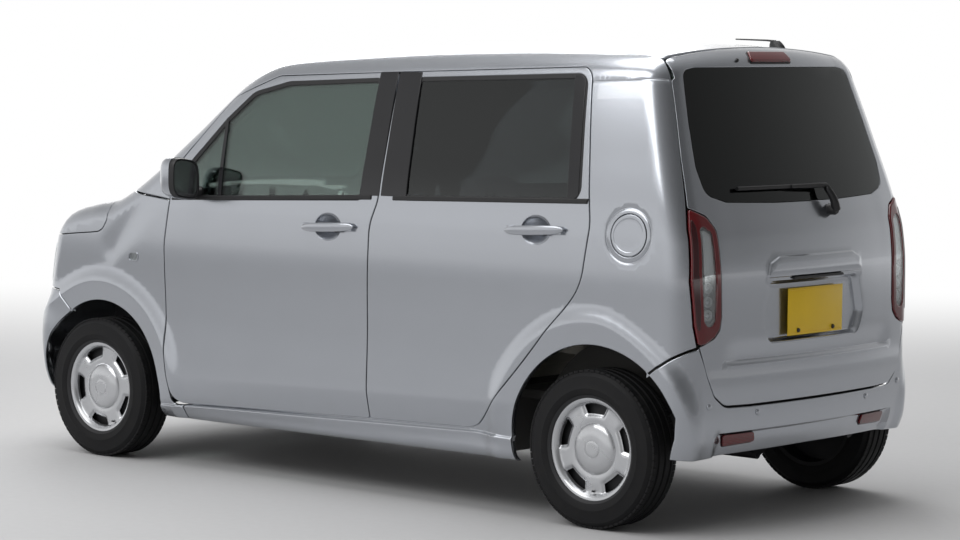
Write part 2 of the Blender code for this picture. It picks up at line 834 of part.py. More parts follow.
def make_doors(form):
    """The left front and rear doors with their windows cut and their hinge knuckles."""
    made = {}
    windows = {"front": FRONT_WINDOW, "rear": REAR_WINDOW}
    pins = {"front": FRONT_DOOR_PIN, "rear": REAR_DOOR_PIN}
    handles = {"front": (-0.137, 0.125, 0.968), "rear": (-1.132, -0.867, 1.008)}
    for end in ("front", "rear"):
        rows = door_rows(end)
        door = wall(form, 0.0, DOOR_THICKNESS, prism("outline", rounded(rows), "Y", 0.4, 1.0))
        x, y = pins[end]
        edge = x - 0.019
        rim = prism("rim", rounded(moved_out(rows, 0.020)), "Y", 0.35, 1.05)
        inner = prism("inner", rounded(moved_out(rows, -DOOR_INSET)), "Y", 0.3, 1.1)
        cut(inner, prism("pillar", grown(corners(B_PILLAR), SHUT_GAP), "Y", 0.2, 1.2))
        cut(inner, box("edge", (edge, 0.2, 0.1), (edge + 0.4, 1.2, 1.125 if end == "rear" else 1.140)))
        cut(rim, inner)
        common(rim, form[SKIN_THIN])
        cut(door, rim)
        cut(door, prism("slim", corners(CABIN_SIDE), "X", -2.0, 2.0))
        cut(door, prism("window", rounded(windows[end]), "Y", 0.3, 1.2))
        for z in DOOR_HINGE_Z[end]:
            low, high = z + KNUCKLE_HEIGHT + SEAT_GAP, z + 2 * KNUCKLE_HEIGHT
            arm = box("arm", (edge - 0.010, y - 0.0055, low + 0.0005), (x, y + 0.0055, high - 0.0005))
            join(arm, rod("pin", (x, y, low), (x, y, high), PIN_RADIUS))
            join(door, arm)
        low, high, z = handles[end]
        wall_y = 0.716
        bowl = rod("bowl", ((low + high) / 2, wall_y - 0.022, z + 0.010), ((low + high) / 2, wall_y + 0.03, z + 0.010), 0.060, 20, 0.100)
        cut(door, bowl)
        bar = box("bar", (low, wall_y + 0.014, z - 0.002), (high, wall_y + 0.030, z + 0.020), 0.005)
        posts = [box("post", (at, wall_y - 0.010, z + 0.002), (at + 0.028, wall_y + 0.018, z + 0.016))
                 for at in (low + 0.006, high - 0.034)]
        join(door, *posts, bar)
        glass = wall(form, GLASS_NEAR, GLASS_FAR, prism(
            "pane", grown(rounded(windows[end]), -SEAT_GAP), "Y", 0.3, 1.0))
        made[end] = (door, glass)
    return made


def make_mirror(form):
    """The left door mirror, its foot resting on the door's front corner."""
    x = FRONT_DOOR_PIN[0]
    head = box("head", (x - 0.105, 0.735, 1.055), (x - 0.005, 0.895, 1.215), 0.022)
    foot = box("foot", (x - 0.075, 0.650, 1.050), (x - 0.020, 0.760, 1.105), 0.008)
    join(head, foot)
    cut(head, form[-OUTSIDE_GAP])
    return head


def make_fender(form):
    """The left front fender, thin so that the door's edge can pass behind it."""
    fender = wall(form, "lipped", SKIN_THIN, zone(FENDER_ZONE, BONNET_HALF_WIDTH + SHUT_GAP, 1.0))
    cut(fender, arch_disc("front", 0.4, 1.0))
    cut(fender, prism("door", rounded(moved_out(door_rows("front"), SHUT_GAP)), "Y", 0.4, 1.0))
    return fender


def make_front_bumper(form):
    """Front bumper and nose panel, with the grille and the lower intake."""
    limit = zone(FRONT_BUMPER_ZONE, -1.0, 1.0)
    join(limit, box("nose", (1.45, -0.352, 0.640), (1.79, 0.352, 0.845)))
    bumper = wall(form, "lipped", ROOF_THICKNESS, limit)
    disc = arch_disc("front", 0.4, 1.1)
    cut(bumper, disc, mirrored(disc, "arch"))
    cut(bumper, box("under", (1.20, -0.480, 0.100), (1.540, 0.480, 0.300)))
    for low, high, half, depth in ((0.702, 0.737, 0.22, 1.668), (0.762, 0.797, 0.22, 1.664), (0.273, 0.367, 0.30, 1.652)):
        cut(bumper, box("groove", (depth, -half, low), (1.80, half, high)))
    plate = box("plate", (1.660, -0.165, 0.470), (1.705, 0.165, 0.635), 0.003)
    join(bumper, plate)
    return bumper


def make_rear_bumper(form):
    bumper = wall(form, "lipped", ROOF_THICKNESS, zone(REAR_BUMPER_ZONE, -1.0, 1.0))
    disc = arch_disc("rear", 0.4, 1.1)
    cut(bumper, disc, mirrored(disc, "arch"))
    cut(bumper, box("under", (-1.80, -1.0, 0.100), (-1.20, 1.0, REAR_BUMPER_FOOT_Z)))
    cut(bumper, tailgate_cutter(SHUT_GAP, -1.80, -1.30))
    return bumper


def make_roof(form):
    """The roof panel, slotted at the rear for the tailgate's hinge arms."""
    rear = TAILGATE_FRONT_X + SHUT_GAP
    roof = wall(form, 0.0, ROOF_THICKNESS, box(
        "roof", (rear, -ROOF_HALF_WIDTH, 1.50), (ROOF_FRONT_X, ROOF_HALF_WIDTH, 2.0)))
    x, z = TAILGATE_PIN
    for y in (-TAILGATE_HINGE_Y, TAILGATE_HINGE_Y):
        cut(roof, box("slot", (rear - 0.05, y - 0.020, 1.50), (x + 0.016, y + 0.020, 1.80)))
        for near, far in ((y - 0.024, y - 0.0103), (y + 0.0103, y + 0.024)):
            join(roof, rod("pin", (x, near, z), (x, far, z), PIN_RADIUS))
    return roof


def make_tailgate(form):
    """The tailgate, its window cut and its plate recess and hinge arms in place."""
    gate = wall(form, 0.0, None, tailgate_cutter(0.0, -1.80, TAILGATE_FRONT_X))
    cut(gate, form[TAILGATE_THICKNESS])
    cut(gate, prism("window", both_halves(BACK_GLASS_HALF), "X", -1.80, -1.30))
    recess = box("recess", (-1.80, -0.300, 0.660), (-1.675, 0.300, 0.875))
    cut(gate, recess)
    join(gate, box("garnish", (-1.705, -0.290, 0.880), (-1.660, 0.290, 0.940), 0.006))
    join(gate, box("plate", (-1.686, -0.165, 0.668), (-1.670, 0.165, 0.825), 0.003))
    x, z = TAILGATE_PIN
    for y in (-TAILGATE_HINGE_Y, TAILGATE_HINGE_Y):
        arm = box("arm", (TAILGATE_FRONT_X - 0.030, y - 0.0098, z - 0.005), (x, y + 0.0098, z + 0.005))
        join(arm, rod("pin", (x, y - 0.0100, z), (x, y + 0.0100, z), PIN_RADIUS))
        join(gate, arm)
    glass = wall(form, GLASS_NEAR, GLASS_FAR, prism(
        "pane", grown(both_halves(BACK_GLASS_HALF), -SEAT_GAP), "X", -1.80, -1.40))
    return gate, glass


def make_bonnet(form):
    plan = [Vector(p) for p in ((BONNET_REAR_X, -BONNET_HALF_WIDTH), (1.80, -BONNET_HALF_WIDTH),
                                (1.80, BONNET_HALF_WIDTH), (BONNET_REAR_X, BONNET_HALF_WIDTH))]
    bonnet = wall(form, 0.0, BONNET_THICKNESS, prism("plan", plan, "Z", BONNET_FRONT_Z, 2.0))
    x, z = BONNET_PIN
    for y in (-BONNET_HINGE_Y, BONNET_HINGE_Y):
        arm = box("arm", (x, y - 0.0098, z - 0.005), (BONNET_REAR_X + 0.030, y + 0.0098, z + 0.005))
        post = box("post", (BONNET_REAR_X + 0.020, y - 0.012, z - 0.008), (BONNET_REAR_X + 0.045, y + 0.012, 1.10))
        common(post, form[0.016])
        join(arm, rod("pin", (x, y - 0.0100, z), (x, y + 0.0100, z), PIN_RADIUS), post)
        join(bonnet, arm)
    return bonnet


def make_cowl(form):
    """The panel under the windscreen, with the wipers and the bonnet's hinge lugs."""
    x, z = BONNET_PIN
    half = SCREEN_HALF[1][1]
    front = BONNET_REAR_X - SHUT_GAP
    cowl = wall(form, SKIN_THIN, DOOR_THICKNESS, box(
        "panel", (SCREEN_HALF[1][0] + SEAT_GAP, -half, 0.8), (COWL_FRONT_X, half, 1.5)))
    ledge = box("ledge", (COWL_FRONT_X - 0.010, -half + 0.001, 0.8), (front, half - 0.001, 1.5))
    join(cowl, wall(form, LAMP_DEPTH, DOOR_THICKNESS, ledge))
    join(cowl, box("shelf", (BULKHEAD_X + 0.0203, -0.500, 0.900), (1.150, 0.500, 0.920)))
    for y in (-0.48, 0.48):
        join(cowl, box("leg", (1.132, y - 0.01, 0.905), (1.150, y + 0.01, 1.050)))
    for y in (-BONNET_HINGE_Y, BONNET_HINGE_Y):
        for near, far in ((y - 0.020, y - 0.0103), (y + 0.0103, y + 0.020)):
            lug = box("lug", (x - 0.018, near, z - 0.040), (x + 0.008, far, z + 0.008))
            join(cowl, lug)
    for foot, tip in (((1.146, -0.42), (0.985, 0.06)), ((1.146, 0.16), (0.975, 0.52))):
        base, top = over_glass(*foot, -0.015), over_glass(*foot, 0.020)
        join(cowl, rod("spindle", base, top, 0.010, 8), rod("blade", over_glass(*foot, 0.012), over_glass(*tip, 0.012), 0.007, 6))
    cut(cowl, form_clear(form))
    return cowl


def over_glass(x, y, lift):
    """The point a little above the upper surface at x, y."""
    return x, y, float(top_at(x) - crown_at(x) * (y / BOW_HALF_WIDTH) ** 2) + lift


def form_clear(form):
    """The windscreen's own space, so the wipers rest just off the glass."""
    low, high = SCREEN_HALF
    plan = [Vector((low[0], -low[1])), Vector((high[0], -high[1])), Vector((high[0], high[1])), Vector((low[0], low[1]))]
    space = copy_of(form[-OUTSIDE_GAP], "space")
    common(space, prism("plan", plan, "Z", 1.0, 2.0))
    return space


def make_windscreen(form):
    (rear, upper), (front, lower) = SCREEN_HALF
    rear += SEAT_GAP
    plan = [Vector(p) for p in ((rear, -upper), (front, -lower), (front, lower), (rear, upper))]
    return wall(form, 0.0, GLASS_NEAR, prism("plan", plan, "Z", 0.9, 2.0))


def make_headlamp(form):
    """The left headlamp, wrapping the car's front corner."""
    lamp = wall(form, 0.0, LAMP_DEPTH, box("lamp", (1.3803, 0.3603, 0.6553), (1.80, 1.0, 0.845)))
    cut(lamp, box("nose", (1.0, 0.0, 0.6), (1.80, 0.3523, 0.9)))
    return lamp


def make_tail_lamp(form):
    """The left tail lamp on the rear corner, beside the tailgate."""
    lamp = wall(form, 0.0, LAMP_DEPTH, prism("lamp", corners(TAIL_LAMP), "X", -1.80, LAMP_FRONT_X))
    cut(lamp, tailgate_cutter(SHUT_GAP, -1.90, -1.30))
    return lamp


# Structure and running gear


def make_floor():
    """Floor, raised luggage floor, wheelhouse walls and rear panel."""
    half = ROOF_HALF_WIDTH
    rear_x = -0.750
    floor = box("floor", (rear_x, -half, 0.200), (BULKHEAD_X - SEAT_GAP, half, 0.230))
    join(
        floor,
        box("kick", (rear_x, -half, 0.200), (rear_x + 0.030, half, 0.430)),
        box("rear", (-1.590, -half, LUGGAGE_FLOOR_Z - 0.030), (rear_x + 0.030, half, LUGGAGE_FLOOR_Z)),
        box("panel", (-1.590, -half, LUGGAGE_FLOOR_Z - 0.030), (-1.570, half, 0.600)),
        box("tunnel", (rear_x + 0.02, -0.090, 0.220), (BULKHEAD_X - SEAT_GAP, 0.090, 0.300), 0.012),
        box("board", (-1.480, -0.450, LUGGAGE_FLOOR_Z - 0.005), (-1.270, 0.450, LUGGAGE_FLOOR_Z + 0.012)),
    )
    for y in (-half, half - 0.020):
        house = circle((AXLE_X["rear"], AXLE_Z), ARCH_RADIUS["rear"] + 0.012, 12, 0.385, math.pi - 0.77)
        join(floor, prism("house", house, "Y", y + 0.0005, y + 0.0195))
    return floor


def make_bulkhead():
    """Bulkhead with the front wheelhouse walls and the strut towers."""
    front = AXLE_X["front"]
    wall_ = box("bulkhead", (BULKHEAD_X, -0.520, 0.200), (BULKHEAD_X + 0.020, 0.520, 0.990))
    for side in (-1, 1):
        low, high = sorted((side * 0.380, side * 0.400))
        join(wall_, box("apron", (BULKHEAD_X + 0.010, low, 0.420), (1.520, high, 0.720)))
        low, high = sorted((side * 0.385, side * 0.600))
        join(wall_, box("tower", (front - 0.080, low, 0.720), (front + 0.080, high, 0.740)))
    return wall_


def make_subframe():
    """Front crossmember with the lower arms."""
    frame = box("frame", (BULKHEAD_X + 0.0203, -0.300, 0.190), (1.420, 0.300, 0.230), 0.006)
    cut(frame, box("hole", (1.02, -0.200, 0.1), (1.34, 0.200, 0.3)))
    for side in (-1, 1):
        join(frame, rod("arm", (1.22, side * 0.28, 0.208), (AXLE_X["front"], side * KINGPIN_Y, 0.170), 0.016, 8))
        pad = rod("pad", (AXLE_X["front"], side * KINGPIN_Y, 0.166), (AXLE_X["front"], side * KINGPIN_Y, 0.190), 0.024, 12)
        join(frame, pad)
    return frame


def make_knuckle():
    """The left steering knuckle and strut, turning about the kingpin."""
    x, y, z = AXLE_X["front"], KINGPIN_Y, AXLE_Z
    strut = rod("strut", (x, y, 0.190 + SEAT_GAP), (x, y, 0.720 - SEAT_GAP), STRUT_RADIUS, 16)
    seat = rod("seat", (x, y, 0.600), (x, y, 0.612), 0.034, 16)
    hub = rod("hub", (x, y, z), (x, HUB_FACE_Y - SEAT_GAP, z), 0.036, 16)
    return join(strut, seat, hub)


def make_rear_axle():
    """Rear axle beam, trailing arms and spring columns."""
    x, z = AXLE_X["rear"], AXLE_Z
    end = HUB_FACE_Y - SEAT_GAP
    beam = rod("beam", (x, -end, z), (x, end, z), 0.030, 12)
    for side in (-1, 1):
        join(
            beam,
            rod("arm", (x, side * 0.40, z), (-0.86, side * 0.40, 0.270), 0.018, 8),
            rod("spring", (x, side * 0.30, z), (x, side * 0.30, LUGGAGE_FLOOR_Z - 0.030 - SEAT_GAP), 0.038, 12),
        )
    return beam


def make_tyre(end):
    half = TYRE_WIDTH / 2
    profile = (
        # radius, distance outward
        (RIM_SEAT_RADIUS + SEAT_GAP, -half + 0.012),
        (RIM_SEAT_RADIUS + 0.020, -half + 0.004),
        (0.240, -half),
        (0.268, -half + 0.010),
        (TYRE_RADIUS, -half + 0.024),
        (TYRE_RADIUS, half - 0.024),
        (0.268, half - 0.010),
        (0.240, half),
        (RIM_SEAT_RADIUS + 0.020, half - 0.004),
        (RIM_SEAT_RADIUS + SEAT_GAP, half - 0.012),
    )
    return turned("tyre", profile, (AXLE_X[end], TRACK / 2, AXLE_Z), 1, TYRE_SIDES)


def make_wheel(end):
    """A wheel with its cover: a domed centre and five slots near the rim."""
    centre = (AXLE_X[end], TRACK / 2, AXLE_Z)
    hub = HUB_FACE_Y - TRACK / 2
    half = RIM_WIDTH / 2
    profile = (
        (0.0, hub),
        (0.055, hub),
        (0.060, 0.030),
        (0.150, 0.010),
        (0.163, -half),
        (RIM_SEAT_RADIUS, -half),
        (RIM_SEAT_RADIUS, half),
        (0.166, half + 0.002),
        (0.156, 0.048),
        (0.085, 0.050),
        (0.060, 0.062),
        (0.0, 0.064),
    )
    wheel = turned("wheel", profile, centre, 1, TYRE_SIDES)
    for n in range(SLOT_COUNT):
        angle = math.radians(90 + 360 * n / SLOT_COUNT)
        radial = Vector((math.cos(angle), 0, math.sin(angle)))
        across = Vector((-math.sin(angle), 0, math.cos(angle)))
        bm = bmesh.new()
        rows = []
        for along in (-0.02, 0.10):
            ring = []
            for near, wide in ((0.128, -0.034), (0.128, 0.034), (0.150, 0.040), (0.150, -0.040)):
                spot = Vector(centre) + radial * near + across * wide + Vector((0, along, 0))
                ring.append(bm.verts.new(spot))
            rows.append(ring)
        for a in range(4):
            b = (a + 1) % 4
            bm.faces.new((rows[0][a], rows[0][b], rows[1][b], rows[1][a]))
        bm.faces.new(rows[0])
        bm.faces.new(rows[1])
        bmesh.ops.recalc_face_normals(bm, faces=bm.faces)
        cut(wheel, mesh_object("slot", bm, cutters))
    return wheel


# Cabin


def tilted(obj, degrees, pivot):
    """Turns an object's mesh about a line along Y through pivot (x, z), top backwards."""
    centre = Vector((pivot[0], 0, pivot[1]))
    turn = Matrix.Rotation(math.radians(-degrees), 4, "Y")
    obj.data.transform(Matrix.Translation(centre) @ turn @ Matrix.Translation(-centre))
    return obj


def make_seat(x, low, high, base_z, tilt, rests):
    """A seat with its base, cushion, backrest and headrests."""
    seat = box("base", (x - 0.200, low + 0.04, base_z + SEAT_GAP), (x + 0.200, high - 0.04, base_z + 0.12), 0.01)
    join(seat, box("cushion", (x - 0.250, low, base_z + 0.10), (x + 0.260, high, base_z + 0.245), 0.03))
    back = box("back", (x - 0.290, low, base_z + 0.150), (x - 0.170, high, base_z + 0.760), 0.03)
    tilted(back, tilt, (x - 0.230, base_z + 0.200))
    join(seat, back)
    for y in rests:
        rest = box("rest", (x - 0.275, y - 0.120, base_z + 0.785), (x - 0.190, y + 0.120, base_z + 0.965), 0.03)
        stem = box("stem", (x - 0.240, y - 0.040, base_z + 0.730), (x - 0.220, y + 0.040, base_z + 0.820))
        tilted(rest, tilt, (x - 0.230, base_z + 0.200))
        tilted(stem, tilt, (x - 0.230, base_z + 0.200))
        join(seat, stem, rest)
    return seat


def make_dashboard():
    top = [Vector(p) for p in ((0.610, 0.760), (0.640, 0.930), (0.860, 0.985), (BULKHEAD_X - SEAT_GAP, 0.985),
                               (BULKHEAD_X - SEAT_GAP, 0.620), (0.760, 0.560), (0.680, 0.600))]
    dash = prism("dash", top, "Y", -0.520, 0.520)
    wheel, foot = Vector(STEERING_WHEEL), Vector(STEERING_COLUMN_FOOT)
    along = (wheel - foot).normalized()
    join(dash, rod("boss", foot - along * 0.10, foot + along * 0.080, 0.045, 14))
    hood = box("hood", (0.640, wheel.y - 0.16, 0.900), (0.800, wheel.y + 0.16, 1.000), 0.02)
    return join(dash, hood)


def make_steering_wheel():
    """Steering wheel and column on one axis, seated just off the dashboard's boss."""
    wheel, foot = Vector(STEERING_WHEEL), Vector(STEERING_COLUMN_FOOT)
    along = (wheel - foot).normalized()
    start = foot + along * (0.080 + SEAT_GAP)
    column = rod("column", start, wheel, 0.022, 12)
    hub = rod("hub", wheel - along * 0.030, wheel + along * 0.020, 0.050, 16, 0.040)
    join(column, hub)
    bm = bmesh.new()
    turn = along.to_track_quat("Z", "Y").to_matrix().to_4x4()
    place = Matrix.Translation(wheel) @ turn
    rings = []
    for n in range(28):
        angle = 2 * math.pi * n / 28
        ring = []
        for m in range(6):
            tube = 2 * math.pi * m / 6
            radius = STEERING_WHEEL_RADIUS - 0.013 + 0.013 * math.cos(tube)
            spot = Vector((radius * math.cos(angle), radius * math.sin(angle), 0.013 * math.sin(tube)))
            ring.append(bm.verts.new(place @ spot))
        rings.append(ring)
    for near, far in zip(rings, rings[1:] + rings[:1]):
        for m in range(6):
            k = (m + 1) % 6
            bm.faces.new((near[m], near[k], far[k], far[m]))
    bmesh.ops.recalc_face_normals(bm, faces=bm.faces)
    join(column, mesh_object("rim", bm, cutters))
    for degrees in (0, 180, 270):
        out = Vector((math.cos(math.radians(degrees)), math.sin(math.radians(degrees)), 0))
        tip = place @ (out * (STEERING_WHEEL_RADIUS - 0.013))
        join(column, rod("spoke", wheel - along * 0.005, tip, 0.010, 8))
    return column


def make_engine():
    """One plain block standing on the subframe."""
    return box("engine", (1.040, -0.330, 0.230 + SEAT_GAP), (1.400, 0.330, 0.700), 0.02)


def make_exhaust():
    """Silencer under the luggage floor and the pipe running forward below the floor."""
    top = LUGGAGE_FLOOR_Z - 0.030 - SEAT_GAP
    muffler = box("muffler", (-1.560, -0.450, 0.250), (-1.390, -0.080, top), 0.02)
    pipe_z = 0.200 - 0.018 - SEAT_GAP
    join(
        muffler,
        rod("pipe", (-1.340, -0.150, pipe_z), (0.880, -0.150, pipe_z), 0.018, 10),
        rod("pipe", (-1.330, -0.150, pipe_z), (-1.450, -0.150, 0.300), 0.017, 10),
        rod("tail", (-1.530, -0.360, 0.300), (-1.600, -0.360, 0.262), 0.018, 10),
    )
    return muffler


def make_antenna(form):
    base = box("base", (-1.130, -0.030, 1.650), (-1.050, 0.030, 1.700), 0.010)
    join(base, rod("rod", (-1.080, 0.0, 1.692), (-0.860, 0.0, 1.697), 0.004, 8))
    cut(base, form[-OUTSIDE_GAP])
    return base


def make_rear_wiper(form):
    """Rear wiper lying along the foot of the back window."""
    arm = rod("hub", (-1.640, -0.140, 1.090), (-1.690, -0.140, 1.100), 0.022, 12)
    join(
        arm,
        rod("arm", (-1.678, -0.140, 1.098), (-1.650, 0.230, 1.160), 0.008, 6),
        rod("blade", (-1.664, 0.000, 1.135), (-1.630, 0.430, 1.190), 0.007, 6),
    )
    cut(arm, form[-OUTSIDE_GAP])
    return arm


def make_fuel_lid(form, side):
    """Cuts the filler recess in the left body side and makes the round lid for it."""
    x, z, radius = FUEL_LID
    hole = prism("hole", circle((x, z), radius + 0.005, 24), "Y", 0.4, 1.0)
    cut(hole, form[0.040])
    pin_x, pin_y = FUEL_PIN
    cut(side, hole, rod("pocket", (pin_x, pin_y, z - 0.050), (pin_x, pin_y, z + 0.050), 0.011, 16))
    lid = wall(form, 0.0, SKIN_THIN, prism("lid", circle((x, z), radius, 24), "Y", 0.4, 1.0))
    for low, high in ((-0.022, -0.0083), (0.0083, 0.022)):
        lug = box("lug", (pin_x - 0.004, pin_y - 0.030, z + low), (pin_x + 0.018, pin_y + 0.003, z + high))
        cut(lid, box("notch", (pin_x - 0.0085, 0.6, z + low - 0.0012), (pin_x + 0.03, 0.8, z + high + 0.0012)))
        join(side, lug)
    join(lid, rod("pin", (pin_x, pin_y, z - 0.0071), (pin_x, pin_y, z + 0.0071), 0.004, 10))
    return lid


def main():
    clear_scene()
    looks = make_looks()
    form = {inset: form_mesh(inset) for inset in DEPTHS}
    form["lipped"] = lipped_form(form)

    paint, black = looks["silver_paint"], looks["black_plastic"]
    pairs = {}
    pairs["body_side"] = make_body_side(form), paint
    for end, (door, glass) in make_doors(form).items():
        pairs[f"door_{end}"] = door, paint
        tint = "clear_glass" if end == "front" else "privacy_glass"
        pairs[f"door_glass_{end}"] = glass, looks[tint]
    pairs["mirror"] = make_mirror(form), paint
    pairs["front_fender"] = make_fender(form), paint
    pairs["headlamp"] = make_headlamp(form), looks["clear_lens"]
    pairs["tail_lamp"] = make_tail_lamp(form), looks["red_lens"]
    pairs["front_knuckle"] = make_knuckle(), looks["dark_metal"]
    for end in ("front", "rear"):
        pairs[f"tyre_{end}"] = make_tyre(end), looks["tyre_rubber"]
        pairs[f"wheel_{end}"] = make_wheel(end), looks["wheel_silver"]
    pairs["seat_front"] = make_seat(0.020, 0.070, 0.550, 0.230, 14, (0.310,)), looks["seat_fabric"]
    for name, (piece, look) in pairs.items():
        finish(mirrored(piece, name), f"{name}_right", look)
    side = pairs["body_side"][0]
    finish(make_fuel_lid(form, side), "fuel_lid", paint)
    for name, (piece, look) in pairs.items():
        finish(piece, f"{name}_left", look)

    gate, back_glass = make_tailgate(form)
    singles = {
        "tailgate": (gate, "silver_paint"),
        "tailgate_glass": (back_glass, "privacy_glass"),
        "roof_panel": (make_roof(form), "silver_paint"),
        "bonnet": (make_bonnet(form), "silver_paint"),
        "cowl": (make_cowl(form), "black_plastic"),
        "windscreen": (make_windscreen(form), "clear_glass"),
        "front_bumper": (make_front_bumper(form), "silver_paint"),
        "rear_bumper": (make_rear_bumper(form), "silver_paint"),
        "antenna": (make_antenna(form), "black_plastic"),
        "rear_wiper": (make_rear_wiper(form), "black_plastic"),
        "floor_pan": (make_floor(), "interior_plastic"),
        "bulkhead": (make_bulkhead(), "dark_metal"),
        "front_subframe": (make_subframe(), "dark_metal"),
        "rear_axle": (make_rear_axle(), "dark_metal"),
        "engine_block": (make_engine(), "dark_metal"),
        "exhaust": (make_exhaust(), "dark_metal"),
        "fuel_tank": (box("tank", (-1.120, -0.300, 0.220), (-0.790, 0.340, LUGGAGE_FLOOR_Z - 0.0303), 0.02),
                      "dark_metal"),
        "rear_seat": (make_seat(-0.810, -0.500, 0.500, LUGGAGE_FLOOR_Z, 16, (-0.270, 0.270)), "seat_fabric"),
        "dashboard": (make_dashboard(), "interior_plastic"),
        "steering_wheel": (make_steering_wheel(), "black_plastic"),
    }
    for name, (piece, look) in singles.items():
        finish(piece, name, looks[look])
    place_origins()
    bpy.context.view_layer.update()


def place_origins():
    """Puts the origin of each moving piece on its joint's axis."""
    pins = {
        "door_front": (*FRONT_DOOR_PIN, 0.680),
        "door_rear": (*REAR_DOOR_PIN, 0.680),
        "front_knuckle": (AXLE_X["front"], KINGPIN_Y, AXLE_Z),
    }
    for end in ("front", "rear"):
        pins[f"door_glass_{end}"] = pins[f"door_{end}"]
        pins[f"tyre_{end}"] = pins[f"wheel_{end}"] = (AXLE_X[end], TRACK / 2, AXLE_Z)
    pins["mirror"] = pins["door_front"]
    placed = {f"{name}_left": pin for name, pin in pins.items()}
    placed.update({f"{name}_right": (x, -y, z) for name, (x, y, z) in pins.items()})
    for name in ("tailgate", "tailgate_glass", "rear_wiper"):
        placed[name] = (TAILGATE_PIN[0], 0.0, TAILGATE_PIN[1])
    placed["bonnet"] = (BONNET_PIN[0], 0.0, BONNET_PIN[1])
    placed["fuel_lid"] = (*FUEL_PIN, FUEL_LID[1])
    placed["steering_wheel"] = STEERING_WHEEL
    for name, pin in placed.items():
        obj = parts.objects[name]
        obj.data.transform(Matrix.Translation(-Vector(pin)))
        obj.location = pin


main()
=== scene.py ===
"""The looks of a silver five-door kei car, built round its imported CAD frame.

Units are metres. X points forward, Y to the car's left and Z up. Each outer panel is a curved sheet
traced on one body form, with a rolled edge and its own thickness.
"""

import logging
import math
from dataclasses import dataclass, field
from enum import Enum
from typing import Callable, Iterable, Optional, Sequence

import bmesh
import bpy
import numpy as np
from mathutils import Matrix, Vector
from mathutils.geometry import delaunay_2d_cdt


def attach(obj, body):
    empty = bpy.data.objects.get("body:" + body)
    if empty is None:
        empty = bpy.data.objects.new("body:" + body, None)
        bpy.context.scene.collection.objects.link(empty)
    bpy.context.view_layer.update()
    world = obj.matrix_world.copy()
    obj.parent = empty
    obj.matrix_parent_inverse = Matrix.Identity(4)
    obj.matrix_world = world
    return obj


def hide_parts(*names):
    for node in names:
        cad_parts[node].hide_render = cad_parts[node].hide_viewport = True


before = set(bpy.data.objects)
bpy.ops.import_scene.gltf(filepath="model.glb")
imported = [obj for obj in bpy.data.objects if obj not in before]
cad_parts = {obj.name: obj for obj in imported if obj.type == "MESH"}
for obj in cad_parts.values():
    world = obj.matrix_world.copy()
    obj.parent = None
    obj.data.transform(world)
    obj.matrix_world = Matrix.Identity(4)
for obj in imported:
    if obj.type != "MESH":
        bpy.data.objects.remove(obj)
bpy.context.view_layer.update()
LOG = logging.getLogger("kei_car")
Array = np.ndarray
Rows = Sequence[Sequence[float]]
QUARTER = math.pi / 2
TINY = 1e-12


class Side(Enum):
    """The car's two sides, by the sign of Y."""

    LEFT = 1
    RIGHT = -1

    @property
    def word(self) -> str:
        """The side's name in node and piece names."""
        return self.name.lower()


# ---------------------------------------------------------------- form


def unit(v: Array) -> Array:
    """Each row of an array at length one."""
    return v / np.maximum(np.linalg.norm(v, axis=1, keepdims=True), TINY)


def columns(*parts: Array) -> Array:
    """Arrays side by side as the columns of one."""
    return np.stack(parts, axis=1)


def monotone(rows: Rows) -> Callable[[Array], Array]:
    """A smooth curve through rows of (position, value) that never overshoots.

    Args:
        rows: positions in rising order with their values.
    Returns:
        A function of an array of positions.
    """
    x = np.array([r[0] for r in rows], float)
    y = np.array([r[1] for r in rows], float)
    step = np.diff(x)
    slope = np.diff(y) / step
    tangent = np.zeros(len(x))
    tangent[0], tangent[-1] = slope[0], slope[-1]
    same = slope[1:] * slope[:-1] > 0
    w1, w2 = 2 * step[1:] + step[:-1], step[1:] + 2 * step[:-1]
    safe = np.where(same, slope[1:] * slope[:-1], 1.0)
    bend = (w1 + w2) * safe / (w1 * slope[1:] + w2 * slope[:-1] + 1e-12)
    tangent[1:-1] = np.where(same, bend, 0)

    def value(at: Array) -> Array:
        """The curve's value at each position."""
        at = np.clip(at, x[0], x[-1])
        i = np.clip(np.searchsorted(x, at) - 1, 0, len(x) - 2)
        h = step[i]
        t = (at - x[i]) / h
        return (
            (2 * t**3 - 3 * t**2 + 1) * y[i]
            + (t**3 - 2 * t**2 + t) * h * tangent[i]
            + (3 * t**2 - 2 * t**3) * y[i + 1]
            + (t**3 - t**2) * h * tangent[i + 1]
        )

    return value


